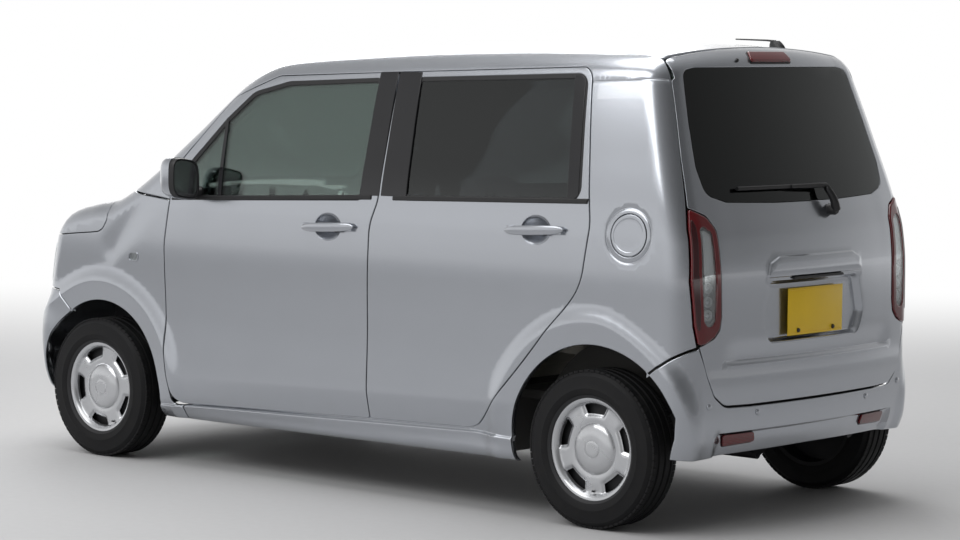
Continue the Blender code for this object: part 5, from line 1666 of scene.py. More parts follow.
    def bumper(self) -> list:
        """The front bumper with its low intake and lamp pockets."""
        end = FRONT.front_end
        side_part = np.vstack([
            traced(FLANK, "side", [(1.514, 0.645), (1.448, 0.571)]),
            trace(FLANK, "side", arch_arc("front", 55.5, -11, 44)),
        ])
        left = columns(end - side_part[:, 0], side_part[:, 1])
        low = traced(FRONT, "front", [(0.6, 0.207), (0.45, 0.205), (0.0, 0.205)], 0.015)
        up = traced(FRONT, "front", [(0.0, 0.6515), (0.562, 0.6515)], 0.015)
        half = np.vstack([up, left, low])
        line = wound(np.vstack([half, (half * (-1, 1))[::-1][1:-1]]))
        intake = trace(FRONT, "front",
                       dense(filleted([(-0.39, 0.29, 0.03), (0.39, 0.29, 0.03),
                                       (0.345, 0.395, 0.03), (-0.345, 0.395, 0.03)]), 0.012))
        pockets = []
        for s in (1, -1):
            rows = [(s * 0.47, 0.3, 0.02), (s * 0.585, 0.31, 0.02), (s * 0.59, 0.4, 0.02),
                    (s * 0.48, 0.395, 0.02)]
            pockets.append(wound(trace(FRONT, "front", dense(filleted(rows), 0.01))))
        band = ridge(trace(FRONT, "front", [(-0.6, 0.455), (0.0, 0.44), (0.6, 0.455)]), 0.007,
                     0.035)
        corner = trace(FRONT, "front", [(0.655, 0.38)])[0]
        cheeks = [swell((s * corner[0], corner[1]), (0.26, 0.3), 0.03) for s in (1, -1)]
        reliefs = ([on_end(FLARES["front"], FRONT), band] + cheeks
                   + [dish(p, 0.014, 0.014) for p in pockets])
        skin = sheet(FRONT, thinned(line, 0.003), [intake], thickness=0.012, spacing=0.024,
                     reliefs=reliefs)
        parts = [(skin, PAINT)]
        parts += layers(FRONT, 0.04, (grown(intake, 0.006), (), 0.022, 0.004, 0.001, BLACK))
        for z in (0.318, 0.342, 0.366):
            parts += layers(FRONT, 0.03, (slat(0.372, z), (), 0.008, 0.012, 0.002, BLACK))
        for s in (1, -1):
            spot = FRONT.place(trace(FRONT, "front", [(s * 0.53, 0.352)]), 0.0)[0]
            aim = Matrix.Translation(spot) @ Matrix.Rotation(-QUARTER + s * 0.42, 4, "Z")
            ring = lathe([(0.033, -0.002), (0.03, 0.001), (0.026, 0.0), (0.026, -0.016),
                          (0.033, -0.016)], 40)
            eye = lathe([(0, -0.003), (0.018, -0.005), (0.0258, -0.009), (0.0258, -0.016),
                         (0, -0.016)], 36, False)
            parts += [(ring.at(aim), GLOSS), (eye.at(aim), CLEAR_LENS)]
        plate = block((1.702, -0.165, 0.44), (1.7055, 0.165, 0.605), 0.0016)
        parts.append((plate, PLATE))
        parts.append((block((1.69, -0.12, 0.47), (1.703, 0.12, 0.58), 0.003), BLACK))
        return parts

    def build(self) -> None:
        """Makes the front's pieces."""
        fender, marker, lamp = self.fender(), self.marker(), self.headlamp()
        for s in Side:
            tag = s.word
            emit(f"front_fender_skin_{tag}", fender.on(s), "chassis", [f"front_fender_{tag}"],
                 PAINT)
            emit(f"side_marker_{tag}", sided(marker, s), "chassis")
            emit(f"headlamp_unit_{tag}", sided(lamp, s), "chassis", [f"headlamp_{tag}"])
        emit("bonnet_skin", self.bonnet(), "bonnet", ["bonnet"], PAINT)
        emit("grille", self.grille(), "chassis")
        emit("front_bumper_skin", self.bumper(), "chassis", ["front_bumper"])


@dataclass
class Roof:
    """Roof panel, windscreen, cowl, wipers and antenna."""

    antenna_at: tuple = (-1.29, -0.3)
    cowl_half: float = 0.598

    def panel(self) -> Shell:
        """The roof between its ditches, with two shallow beads."""
        half = DITCH - 0.003
        rows = [(0.436, half - 0.006, 0.02), (-1.4, half, 0.01), (-1.4, -half, 0.01),
                (0.436, 0.006 - half, 0.02)]
        line = dense(filleted(rows), 0.02)
        line[:, 0] += np.where(line[:, 0] > 0.4, 0.035 * (1 - (line[:, 1] / 0.52) ** 2), 0)
        beads = []
        for y in (-0.335, 0.335):
            beads.append(ridge(np.array([(0.2, y), (-1.22, y)]), -0.004, 0.02))
        return sheet(PLAN, line, thickness=0.014, spacing=0.03, reliefs=beads)

    def ditch(self) -> Shell:
        """The black strip in the left roof ditch."""
        rows = [(0.43, DITCH - 0.006), (-1.395, DITCH - 0.006), (-1.395, DITCH + 0.006),
                (0.43, DITCH + 0.006)]
        return sheet(PLAN, dense(rows, 0.02), depth=0.0045, thickness=0.008, roll=0.001,
                     spacing=0.03)

    def screen_loop(self, grow: float = 0.0) -> Array:
        """The windscreen's outline in plan."""
        upper = [(0.447 + 0.035 * (1 - (y / 0.53) ** 2), y) for y in np.linspace(0.528, -0.528, 50)]
        lower = [(1.128 + 0.03 * (1 - (y / 0.595) ** 2), y) for y in np.linspace(-0.595, 0.595, 50)]
        return grown(dense(np.array(upper + lower), 0.02), grow)

    def screen(self) -> list:
        """The windscreen with its black printed border."""
        border = [self.screen_loop(-0.03)]
        return layers(
            PLAN, 0.03,
            (self.screen_loop(), (), 0.002, 0.0045, 0.001, CLEAR),
            (self.screen_loop(-0.001), border, 0.0068, 0.002, 0.0005, BLACK),
        )

    def cowl(self) -> list:
        """The black cowl panel."""
        half = self.cowl_half
        front = [(1.2235, y) for y in np.linspace(half, -half, 60)]
        rear = [(1.133 + 0.03 * (1 - (y / 0.595) ** 2), y) for y in np.linspace(-half, half, 60)]
        outline = np.array(front + rear)
        return layers(PLAN, 0.03, (outline, (), 0.086, 0.006, 0.002, BLACK))

    def wiper(self, foot: Sequence[float], tip: Sequence[float]) -> list:
        """One windscreen wiper, from its spindle to the blade's tip."""
        def over(x: float, y: float, lift: float) -> Array:
            """A point above the glass."""
            return PLAN.place(np.array([[x, y]]), -lift)[0]

        foot, tip = np.array(foot), np.array(tip)
        arm = [over(*(foot + (tip - foot) * t), 0.014 + 0.01 * math.sin(math.pi * t))
               for t in np.linspace(0, 0.62, 10)]
        along = (tip - foot) / np.linalg.norm(tip - foot)
        start, stop = foot + along * 0.1, tip
        blade = [over(*(start + (stop - start) * t), 0.009) for t in np.linspace(0, 1, 16)]
        lip = [over(*(start + (stop - start) * t), 0.004) for t in np.linspace(0, 1, 16)]
        hub = over(*foot, -0.008)
        nut = lathe([(0, 0.03), (0.009, 0.029), (0.013, 0.02), (0.013, 0.0), (0, 0.0)], 24, False)
        stand = Matrix.Translation(hub) @ Matrix.Rotation(QUARTER, 4, "X")
        return [(tube(arm, np.linspace(0.007, 0.004, 10)), BLACK), (tube(blade, 0.0055, 8), BLACK),
                (tube(lip, 0.0022, 6), SEAL), (nut.at(stand), BLACK)]

    def antenna(self) -> list:
        """The folded whip on its base at the roof's rear."""
        x, y = self.antenna_at
        top = float(PLAN.place(np.array([[x, y]]))[0, 2])
        rings = []
        for t in np.linspace(0, 1, 9):
            grow = 1 - 0.45 * t * t
            ring = circle(28)
            base = columns(x + ring[:, 0] * 0.034 * grow + t * 0.012, y + ring[:, 1] * 0.017 * grow,
                             np.full(28, top - 0.004 + t * 0.03))
            rings.append(base)
        path = [(x + 0.01, y, top + 0.024), (x + 0.05, y, top + 0.027), (x + 0.19, y, top + 0.03)]
        return [(loft(rings), BLACK), (tube(path, (0.0045, 0.0035, 0.0025), 10), BLACK)]

    def build(self) -> None:
        """Makes the roof's pieces."""
        emit("roof_skin", self.panel(), "chassis", ["roof_panel"], PAINT)
        ditch = self.ditch()
        for s in Side:
            emit(f"roof_ditch_{s.word}", ditch.on(s), "chassis", finish=SEAL)
        emit("windscreen_pane", self.screen(), "chassis", ["windscreen"])
        wipers = (self.wiper((1.146, -0.42), (0.985, 0.06))
                  + self.wiper((1.146, 0.16), (0.975, 0.52)))
        emit("cowl_panel", self.cowl() + wipers, "chassis", ["cowl"])
        emit("roof_antenna", self.antenna(), "chassis", ["antenna"])
        lining = sheet(PLAN,
                       dense(filleted([(0.4, 0.47, 0.04), (-1.36, 0.49, 0.04), (-1.36, -0.49, 0.04),
                                       (0.4, -0.47, 0.04)]), 0.03), depth=0.036, thickness=0.006,
                       roll=0.002, spacing=0.05)
        emit("roof_liner", lining, "chassis", finish=LINING)


def on_back(rows: Rows, closed: bool = True, spacing: float = 0.012) -> Array:
    """A rear view outline on the rear chart."""
    return trace(REAR, "rear", dense(filleted(rows, closed), spacing, closed))


def both(left: Rows) -> list:
    """A left half outline followed by its mirror."""
    return list(left) + [(-r[0], *r[1:]) for r in reversed(left)]


@dataclass
class Tail:
    """Tailgate, back glass, tail lamps, plate, rear bumper and their small fittings."""

    plate_z: float = 0.744
    plate_half: tuple = (0.165, 0.0825)
    pivot: tuple = (-0.12, 1.091)

    def gate_rows(self) -> list:
        """The left half of the tailgate's lower and side edges."""
        return [(0.5445, 1.547), (0.566, 1.432), (0.596, 1.282), (0.6245, 1.117, 0.006),
                (0.556, 1.09, 0.03), (0.524, 1.045, 0.03), (0.519, 0.869, 0.05),
                (0.5175, 0.752, 0.02), (0.526, 0.706, 0.02), (0.552, 0.679, 0.03),
                (0.62, 0.6535, 0.01), (0.586, 0.552, 0.1), (0.552, 0.48, 0.05), (0.5, 0.4415, 0.07),
                (0.373, 0.4385)]

    def gate_line(self) -> Array:
        """The tailgate's outline on the rear chart."""
        left = trace(REAR, "rear", dense(filleted(self.gate_rows(), False), 0.012, False))
        top = trace(REAR, "top",
                    dense(filleted([(-1.4085, 0.0), (-1.4085, 0.529, 0.012), (-1.455, 0.532)],
                                   False), 0.012, False))
        half = np.vstack([top, left])
        half = half[half[:, 0] > 1e-4]
        return wound(np.vstack([half, (half * (-1, 1))[::-1]]))

    def glass_rows(self) -> list:
        """The back glass."""
        return both([(0.423, 1.5885, 0.03), (0.488, 1.577, 0.035), (0.522, 1.404, 0.1),
                     (0.544, 1.25, 0.08), (0.531, 1.16, 0.045), (0.44, 1.1345, 0.06),
                     (0.186, 1.126)])

    def gate(self) -> Shell:
        """The painted tailgate with its step, plate recess and window."""
        window = on_back(self.glass_rows())
        recess = on_back(both([(0.268, 0.862, 0.03), (0.3055, 0.722, 0.045), (0.272, 0.641, 0.04)]))

        def step(uv: Array) -> Array:
            """The hollow above the gate's lower bulge."""
            u, v = np.abs(uv[:, 0]), uv[:, 1]
            up = smooth_step((v - 0.581) / 0.014) * (1 - 0.9 * smooth_step((v - 0.595) / 0.085))
            return -0.011 * up * (1 - smooth_step((u - 0.42) / 0.1))

        lines = []
        for v in (0.577, 0.582, 0.587, 0.592, 0.597, 0.615, 0.64):
            lines.append((dense([(-0.48, v), (0.48, v)], 0.012, False), False))
        garnish = on_back(both([(0.222, 0.944, 0.012), (0.274, 0.922, 0.02), (0.29, 0.866, 0.012)]))
        rise = dish(garnish, -0.009, 0.008)
        pads = ridge(on_back([(-0.56, 0.515), (0.0, 0.512), (0.56, 0.515)], False), 0.004, 0.05)
        return sheet(REAR, grown(thinned(self.gate_line(), 0.003), -GAP), [grown(window, 0.002)],
                     thickness=0.012, spacing=0.022,
                     reliefs=[Relief(step, lines), dish(recess, 0.024, 0.02), rise, pads])

    def window(self) -> list:
        """The back glass with its dark border."""
        loop = on_back(self.glass_rows())
        return layers(
            REAR, 0.03,
            (grown(loop, 0.0005), (), 0.001, 0.0038, 0.001, TINTED),
            (grown(loop, 0.01), [grown(loop, -0.016)], 0.0052, 0.01, 0.001, BLACK),
        )

    def lining(self) -> Shell:
        """The tailgate's inner trim."""
        rows = both([(0.48, 1.58, 0.05), (0.545, 1.15, 0.04), (0.46, 1.08, 0.04),
                     (0.46, 0.5, 0.05)])
        hole = both([(0.462, 1.56, 0.04), (0.505, 1.18, 0.04)])
        return sheet(REAR, on_back(rows), [on_back(hole)], depth=0.048, thickness=0.008, roll=0.003,
                     spacing=0.035)

    def lamp_rows(self) -> list:
        """The left tail lamp."""
        return [(0.6215, 1.1145, 0.006), (0.637, 1.047, 0.05), (0.6465, 0.874, 0.1),
                (0.6355, 0.723, 0.06), (0.6215, 0.6555, 0.012), (0.588, 0.6635, 0.03),
                (0.553, 0.683, 0.035), (0.5285, 0.708, 0.03), (0.5215, 0.752, 0.03),
                (0.5225, 0.869, 0.1), (0.5275, 1.045, 0.05), (0.558, 1.087, 0.03)]

    def lamp(self) -> list:
        """Red body, dark outer strip, clear column with three round lights."""
        loop = wound(on_back(self.lamp_rows()))
        column = wound(on_back([(0.5985, 1.068, 0.02), (0.6085, 0.9, 0.04), (0.601, 0.735, 0.03),
                                (0.574, 0.712, 0.02), (0.548, 0.735, 0.02), (0.5445, 0.86, 0.04),
                                (0.548, 1.035, 0.02)]))
        strip = wound(on_back([(0.6215, 1.095, 0.008), (0.6335, 1.04, 0.03), (0.642, 0.874, 0.1),
                               (0.631, 0.73, 0.05), (0.619, 0.69, 0.01), (0.6145, 0.76, 0.03),
                               (0.622, 0.9, 0.06), (0.613, 1.055, 0.03)]))
        white = wound(on_back([(0.593, 1.05, 0.012), (0.601, 0.892, 0.01), (0.552, 0.884, 0.01),
                               (0.554, 1.03, 0.012)]))
        rows = layers(
            REAR, 0.016,
            (loop, [column], -0.006, 0.02, 0.0045, RED_LENS),
            (strip, (), -0.0075, 0.006, 0.0015, DARK_RED),
            (grown(column, 0.001), (), -0.0035, 0.003, 0.001, CLEAR_LENS),
            (grown(column, 0.004), (), 0.016, 0.003, 0.001, GLOSS),
            (white, (), 0.001, 0.012, 0.002, WHITE),
            (loop, (), 0.02, 0.006, 0.001, BLACK),
        )
        for z in (0.849, 0.802, 0.756):
            at = REAR.place(trace(REAR, "rear", [(0.5765, z)]), 0.009)[0]
            aim = aimed(at)
            ring = lathe([(0.019, 0.0), (0.0175, 0.004), (0.015, 0.004), (0.0135, -0.002),
                          (0.019, -0.003)], 36)
            eye = lathe([(0, 0.004), (0.007, 0.003), (0.0125, -0.0015), (0.0125, -0.003),
                         (0, -0.003)], 30, False)
            rows += [(ring.at(aim), WHITE), (eye.at(aim), COVER)]
        return rows

    def plate(self) -> list:
        """The blank yellow plate with its two fixings."""
        z = self.plate_z
        x = float(REAR.place(np.array([(0.0, z)]), 0.012)[0, 0])
        wide, tall = self.plate_half
        board = block((x - 0.0035, -wide, z - tall), (x, wide, z + tall), 0.0014)
        rim = [(x - 0.0038, s * 0.158, z + t * 0.0755)
               for s, t in ((-1, -1), (1, -1), (1, 1), (-1, 1), (-1, -1))]
        base = block((x, -0.11, z - 0.05), (x + 0.01, 0.11, z + 0.05), 0.003)
        rows = [(board, PLATE), (base, BLACK), (tube(dense(rim, 0.05, False), 0.0012, 6), PLATE)]
        turn = Matrix.Rotation(QUARTER, 4, "Z")
        for s in (1, -1):
            bolt = lathe([(0, 0.0065), (0.006, 0.0065), (0.0075, 0.004), (0.0075, 0.0), (0, 0.0)],
                         20, False)
            rows.append((bolt.at(Matrix.Translation((x - 0.003, s * 0.105, z - 0.066)) @ turn),
                         BLACK))
        return rows

    def fittings(self) -> list:
        """Stop lamp, washer nozzle and handle under the garnish."""
        stop = on_back([(0.106, 1.64, 0.008), (0.124, 1.606, 0.008), (-0.124, 1.606, 0.008),
                        (-0.106, 1.64, 0.008)])
        under = [(-0.15, 0.868), (-0.15, 0.8595), (0.15, 0.8595), (0.15, 0.868)]
        rows = layers(
            REAR, 0.02,
            (stop, (), -0.01, 0.014, 0.005, RED_LENS),
            (grown(stop, 0.004), (), -0.002, 0.006, 0.002, BLACK),
            (on_back([(*r, 0.004) for r in under]), (), -0.0115, 0.012, 0.002, BLACK),
        )
        nozzle = REAR.place(trace(REAR, "rear", [(0.19, 1.614)]), 0.0)[0]
        ball = lathe([(0, 0.008), (0.005, 0.006), (0.008, 0.0), (0, -0.002)], 20, False)
        rows.append((ball.at(Matrix.Translation(nozzle) @ Matrix.Rotation(QUARTER, 4, "Z")), BLACK))
        return rows

    def wiper(self) -> list:
        """The rear wiper: pivot boss, bent arm and blade."""
        def over(y: float, z: float, lift: float) -> Array:
            """A point off the tailgate."""
            return REAR.place(trace(REAR, "rear", [(y, z)]), -lift)[0]

        y, z = self.pivot
        hub = over(y, z, -0.003)
        boss = lathe([(0, 0.04), (0.013, 0.038), (0.018, 0.03), (0.02, 0.0), (0, 0.0)], 36, False)
        aim = (Matrix.Translation(hub) @ Matrix.Rotation(QUARTER, 4, "Z")
               @ Matrix.Rotation(-0.06, 4, "X"))
        arm = [over(y + 0.004 * t, z + t * 0.0107, 0.03 + 0.01 * math.sin(t / 8 * math.pi))
               for t in range(9)]
        widths = list(np.linspace(0.017, 0.011, 9))
        arm += [over(-0.082 + t * 0.0265, 1.1775, 0.028 - t * 0.0012) for t in range(1, 8)]
        widths += list(np.linspace(0.01, 0.0065, 7))
        blade = [over(-0.05 + t * 0.437 / 14, 1.178, 0.014) for t in range(15)]
        rubber = [over(-0.05 + t * 0.437 / 14, 1.178, 0.006) for t in range(15)]
        return [(boss.at(aim), BLACK), (tube(arm, widths, 12), BLACK),
                (tube(blade, 0.0075, 10), BLACK), (tube(rubber, 0.003, 6), SEAL)]

    def bumper_line(self) -> Array:
        """The rear bumper's outline on the rear chart."""
        end = REAR.rear_end
        heel = dense([(-1.5935, 0.411), (-1.59, 0.34), (-1.57, 0.268)], 0.012, False)
        arc = trace(FLANK, "side", np.vstack([arch_arc("rear", 129, 157, 24), heel]))
        edge = traced(FLANK, "side", [(-1.4865, 0.548), (-1.519, 0.575), (-1.6445, 0.643)])
        side_part = np.vstack([edge[::-1], arc])
        left = columns(side_part[:, 0] - end, side_part[:, 1])
        gate = [(0.62, 0.648), (0.582, 0.548, 0.1), (0.547, 0.475, 0.05), (0.497, 0.4365, 0.07),
                (0.373, 0.4335), (0.0, 0.4325)]
        up = trace(REAR, "rear", dense(filleted(gate, False), 0.012, False))[::-1]
        low = traced(REAR, "rear", [(0.616, 0.262), (0.56, 0.262), (0.48, 0.268), (0.0, 0.272)],
                     0.015)
        half = np.vstack([up, left, low])
        half = half[half[:, 0] > 1e-4]
        return wound(thinned(np.vstack([half, (half * (-1, 1))[::-1]]), 0.003))

    def bumper(self) -> list:
        """The rear bumper with its low recess, reflectors and sensors."""
        recess = on_back(both([(0.475, 0.3445, 0.012), (0.497, 0.332, 0.012),
                               (0.508, 0.285, 0.02)]))
        strip = on_back(both([(0.4915, 0.342, 0.01), (0.33, 0.342, 0.01)])[:2]
                        + [(0.317, 0.305, 0.01), (0.4795, 0.3, 0.01)])
        low = wound(strip)
        pair = [low, wound(low * (-1, 1))]

        def tuck(uv: Array) -> Array:
            """The recess across the lower bumper."""
            u, v = np.abs(uv[:, 0]), uv[:, 1]
            down = smooth_step((0.3505 - v) / 0.009)
            return -0.016 * down * (1 - smooth_step((u - 0.51) / 0.02))

        lines = [(dense([(-0.5, v), (0.5, v)], 0.012, False), False)
                 for v in (0.3395, 0.344, 0.348, 0.3515)]
        reliefs = [on_end(FLARES["rear"], REAR), Relief(tuck, lines)]
        skin = sheet(REAR, self.bumper_line(), [grown(p, 0.001) for p in pair], thickness=0.012,
                     spacing=0.024, reliefs=reliefs)
        parts = [(skin, PAINT)]
        for loop in pair:
            parts += layers(
                REAR, 0.02,
                (grown(loop, 0.003), (), 0.022, 0.004, 0.001, BLACK),
                (grown(loop, -0.001), (), 0.0075, 0.01, 0.002, RED_LENS),
            )
        for y, z in ((0.572, 0.445), (0.33, 0.41), (-0.33, 0.41), (-0.572, 0.445)):
            at = REAR.place(trace(REAR, "rear", [(y, z)]), -0.001)[0]
            aim = aimed(at)
            eye = lathe([(0, 0.0035), (0.0085, 0.003), (0.0105, 0.001), (0.011, -0.004),
                         (0, -0.004)], 28, False)
            parts.append((eye.at(aim), PAINT))
        return parts

    def build(self) -> None:
        """Makes the rear's pieces."""
        emit("tailgate_skin", self.gate(), "tailgate", ["tailgate"], PAINT)
        emit("back_glass", self.window(), "tailgate", ["tailgate_glass"])
        emit("tailgate_trim", self.lining(), "tailgate", finish=TRIM)
        emit("number_plate", self.plate(), "tailgate")
        emit("tailgate_fittings", self.fittings(), "tailgate")
        emit("rear_wiper_arm", self.wiper(), "tailgate", ["rear_wiper"])
        lamp = self.lamp()
        for s in Side:
            emit(f"tail_lamp_unit_{s.word}", sided(lamp, s), "chassis", [f"tail_lamp_{s.word}"])
        emit("rear_bumper_skin", self.bumper(), "chassis", ["rear_bumper"])


@dataclass
class Wheels:
    """The four wheels: tyre, rim, cover with five dark slots, and valve."""

    radius: float = 0.2754
    half: float = 0.0775
    rim: float = 0.178
    slots: int = 5
    slot_radii: tuple = (0.1215, 0.1545)
    slot_half_deg: float = 19.0
    centre_y: float = 0.6525
    front_turn: float = 0.42

    def tyre(self) -> Shell:
        """The tyre's body with its shoulders, sidewall steps and grooved tread."""
        r, h, b = self.radius, self.half, self.rim
        outer = [(b + 0.002, h - 0.016), (b + 0.008, h - 0.008), (b + 0.016, h - 0.0035),
                 (b + 0.03, h - 0.0008), (b + 0.034, h + 0.0002), (b + 0.036, h - 0.0008),
                 (b + 0.055, h - 0.0005), (b + 0.072, h - 0.0045), (b + 0.076, h - 0.0045),
                 (r - 0.014, h - 0.0105), (r - 0.0065, h - 0.017), (r - 0.0015, h - 0.026)]
        tread = []
        for y in (0.034, 0.0, -0.034):
            tread += [(r, y + 0.0055), (r - 0.0065, y + 0.0035), (r - 0.0065, y - 0.0035),
                      (r, y - 0.0055)]
        inner = [(q, -y) for q, y in reversed(outer)]
        bead = [(b - 0.002, -h + 0.03), (b - 0.002, h - 0.03)]
        return lathe(outer + tread + inner + bead, 96)

    def tread_blocks(self) -> bpy.types.Object:
        """Shoulder blocks scattered round the tyre with a node tree."""
        r, h = self.radius, self.half
        seed = block((-0.0108, h - 0.03, -0.0085), (0.0108, h - 0.014, 0.0002), 0.0012, 1)
        other = block((-0.0108, -h + 0.014, -0.0085), (0.0108, -h + 0.03, 0.0002), 0.0012, 1)
        return repeated("tread", seed.plus(other), 72, r - 0.0002, TYRE)

    def cover(self) -> Shell:
        """The silver cover's face, traced in polar steps with its slots pressed through."""
        profile = [(0.0, 0.059), (0.022, 0.0592), (0.0285, 0.058), (0.03, 0.056), (0.0315, 0.058),
                   (0.05, 0.0572), (0.072, 0.053), (0.084, 0.048), (0.088, 0.044), (0.09, 0.0415),
                   (0.0925, 0.043), (0.1, 0.044), (0.118, 0.0445), (0.135, 0.044), (0.15, 0.0435),
                   (0.156, 0.0445), (0.159, 0.05), (0.164, 0.056), (0.17, 0.06), (0.178, 0.0615),
                   (0.185, 0.06), (0.189, 0.056)]
        curve = monotone(profile)
        loops = [0.19 * circle(140)]
        holes = []
        for n in range(self.slots):
            a = math.radians(90 + 360 * n / self.slots)
            ring = []
            (inner_r, outer_r), wide = self.slot_radii, math.radians(self.slot_half_deg)
            for t in np.linspace(-1, 1, 18):
                ring.append((outer_r, a + t * wide))
            for t in np.linspace(1, -1, 14):
                ring.append((inner_r + 0.003 * t * t, a + t * wide * 0.88))
            flat = np.array([(q * math.cos(w), q * math.sin(w)) for q, w in ring])
            rounded = filleted([(*p, 0.006) for p in flat])
            holes.append(dense(rounded, 0.006))

        def height(uv: Array) -> Array:
            """The face's height at each flat point, dished round every slot."""
            q = np.linalg.norm(uv, axis=1)
            near = np.full(len(uv), 1e9)
            for hole in holes:
                near = np.minimum(near, line_distance(uv, hole, True))
            spoke = -0.0075 * (1 - smooth_step(near / 0.013)) * smooth_step((q - 0.098) / 0.012)
            return curve(q) + np.where(q < 0.1565, spoke, 0)

        rings = [q * circle(int(max(24, q * 800)))
                 for q in (0.012, 0.022, 0.0275, 0.0285, 0.03, 0.0315, 0.0325, 0.045, 0.06, 0.072,
                           0.08, 0.086, 0.088, 0.09, 0.0925, 0.096, 0.105, 0.1545, 0.157, 0.159,
                           0.162, 0.166, 0.171, 0.177, 0.183)]
        rims = [grown(h_, g) for h_ in holes for g in (0.003, 0.006, 0.009, 0.013)]
        return flat_sheet(0.1885 * circle(140), holes, height, rings + rims, 0.008, 0.0032)

    def inner(self) -> list:
        """Rim barrel and the dark steel disc behind the slots."""
        h, b = self.half, self.rim
        barrel = lathe([(b + 0.012, h - 0.012), (b + 0.01, h - 0.006), (b, h - 0.012),
                        (b - 0.006, 0.0), (b - 0.002, -h + 0.01), (b + 0.012, -h + 0.006),
                        (b + 0.012, -h + 0.012), (b + 0.001, -h + 0.016), (b - 0.001, 0.0),
                        (b + 0.001, h - 0.018)], 72)
        disc = lathe([(0.0, 0.03), (0.06, 0.03), (0.1, 0.022), (0.15, 0.014), (b - 0.003, 0.01),
                      (b - 0.003, 0.004), (0.15, 0.006), (0.06, 0.014), (0.0, 0.014)], 60, False)
        return [(barrel, STEEL), (disc, STEEL)]

    def build(self) -> None:
        """Makes tyres, covers and rims at the four corners."""
        tyre, cover, inner = self.tyre(), self.cover(), self.inner()
        blocks = self.tread_blocks()
        valve = tube([(0.0, 0.034, -0.15), (0.0, 0.052, -0.146)], 0.0035, 10)
        for end in ("front", "rear"):
            for s in Side:
                tag = f"{end}_{s.word}"
                spin = {"front": self.front_turn, "rear": 0.0}[end]
                put = Matrix.Translation((AXLE_X[end], self.centre_y, AXLE_Z))
                put = put @ Matrix.Rotation(spin, 4, "Y")
                body = f"wheel_{tag}"
                rubber = tyre.at(put).plus(blocks.at(put)).on(s)
                emit(f"tyre_{tag}_rubber", rubber, body, [f"tyre_{tag}"], TYRE)
                rows = ([(cover.at(put).on(s), COVER)]
                        + [(p.at(put).on(s), look) for p, look in inner])
                rows.append((valve.at(put).on(s), BLACK))
                emit(f"wheel_{tag}_cover", rows, body, [f"wheel_{tag}"])


def flat_sheet(outline: Array, holes: list, height: Callable, rings: list, spacing: float,
               thickness: float) -> Shell:
    """A closed plate in the XZ plane whose outer face follows a height along Y."""
    loops = [wound(outline)] + [wound(h, left=False) for h in holes]
    inputs, edges = fenced(loops)
    extra = []
    for ring in rings:
        ok = within(ring, loops)
        for loop in loops:
            ok &= line_distance(ring, loop, True) > spacing * 0.2
        extra.append(ring[ok])
    low, high = loops[0].min(axis=0), loops[0].max(axis=0)
    grid = np.meshgrid(np.arange(low[0], high[0], spacing), np.arange(low[1], high[1], spacing))
    grid = np.stack(grid, -1).reshape(-1, 2)
    grid = grid[within(grid, loops)]
    for loop in loops + rings:
        grid = grid[line_distance(grid, loop, True) > spacing * 0.45]
    inputs.extend(map(tuple, np.vstack(extra + [grid])))
    uv, tri, where = triangulated(inputs, edges, loops)
    front = columns(uv[:, 0], height(uv), uv[:, 1])
    back = front - (0, thickness, 0)
    n = len(uv)
    faces = [list(t) for t in tri.tolist()] + [[c + n for c in reversed(t)] for t in tri.tolist()]
    base = 0
    for loop in loops:
        ids = [where[base + i] for i in range(len(loop))]
        base += len(loop)
        for a, b in zip(ids, ids[1:] + ids[:1]):
            if a != b:
                faces.append([b, a, a + n, b + n])
    return solid(np.vstack([front, back]), faces)


def repeated(name: str, seed: Shell, count: int, radius: float, finish: Finish) -> Shell:
    """A shape repeated round the Y axis by a Geometry Nodes tree and read back as a shell.

    Args:
        name: the node tree's name.
        seed: the shape, placed at the origin and standing for the top of the ring.
        count: how many stand round the ring.
        radius: the ring's radius.
        finish: what it is made of.
    Returns:
        The repeated shapes.
    """
    mesh = bpy.data.meshes.new(f"{name}_seed")
    mesh.from_pydata(seed.points.tolist(), [], seed.faces)
    source = added(f"{name}_seed", mesh)
    group = bpy.data.node_groups.new(f"{name}_ring", "GeometryNodeTree")
    inputs = [
        group.interface.new_socket(title, in_out="INPUT", socket_type=f"NodeSocket{kind}")
        for title, kind in (("Geometry", "Geometry"), ("Count", "Int"), ("Radius", "Float"))
    ]
    group.interface.new_socket("Geometry", in_out="OUTPUT", socket_type="NodeSocketGeometry")
    tree = Graph(group)
    shape, many, reach = (tree.node("NodeGroupInput", out=socket.name) for socket in inputs)
    turn = tree.node("GeometryNodeInputIndex") / many * (2 * math.pi)
    ring = tree.node("ShaderNodeCombineXYZ", {"X": turn.maths("SINE"), "Z": turn.maths("COSINE")})
    place = tree.node("ShaderNodeVectorMath", {0: ring, "Scale": reach}, operation="SCALE")
    points = tree.node("GeometryNodeMeshLine", {"Count": many})
    points = tree.node("GeometryNodeSetPosition", {"Geometry": points, "Position": place})
    lean = tree.node("ShaderNodeCombineXYZ", {"Y": turn})
    copies = {"Points": points, "Instance": shape, "Rotation": lean}
    real = tree.node("GeometryNodeInstanceOnPoints", copies)
    real = tree.node("GeometryNodeRealizeInstances", {0: real})
    dress = {"Geometry": real, "Material": finish.material()}
    leave = tree.nodes.new("NodeGroupOutput")
    tree.fill(leave, {0: tree.node("GeometryNodeSetMaterial", dress)})
    modifier = source.modifiers.new("ring", "NODES")
    modifier.node_group = group
    modifier[inputs[1].identifier] = count
    modifier[inputs[2].identifier] = float(radius)
    graph = bpy.context.evaluated_depsgraph_get()
    made = bpy.data.meshes.new_from_object(source.evaluated_get(graph))
    source.modifiers.clear()
    shell = Shell(np.array([tuple(v.co) for v in made.vertices]),
                  [list(p.vertices) for p in made.polygons])
    bpy.data.objects.remove(source)
    return shell


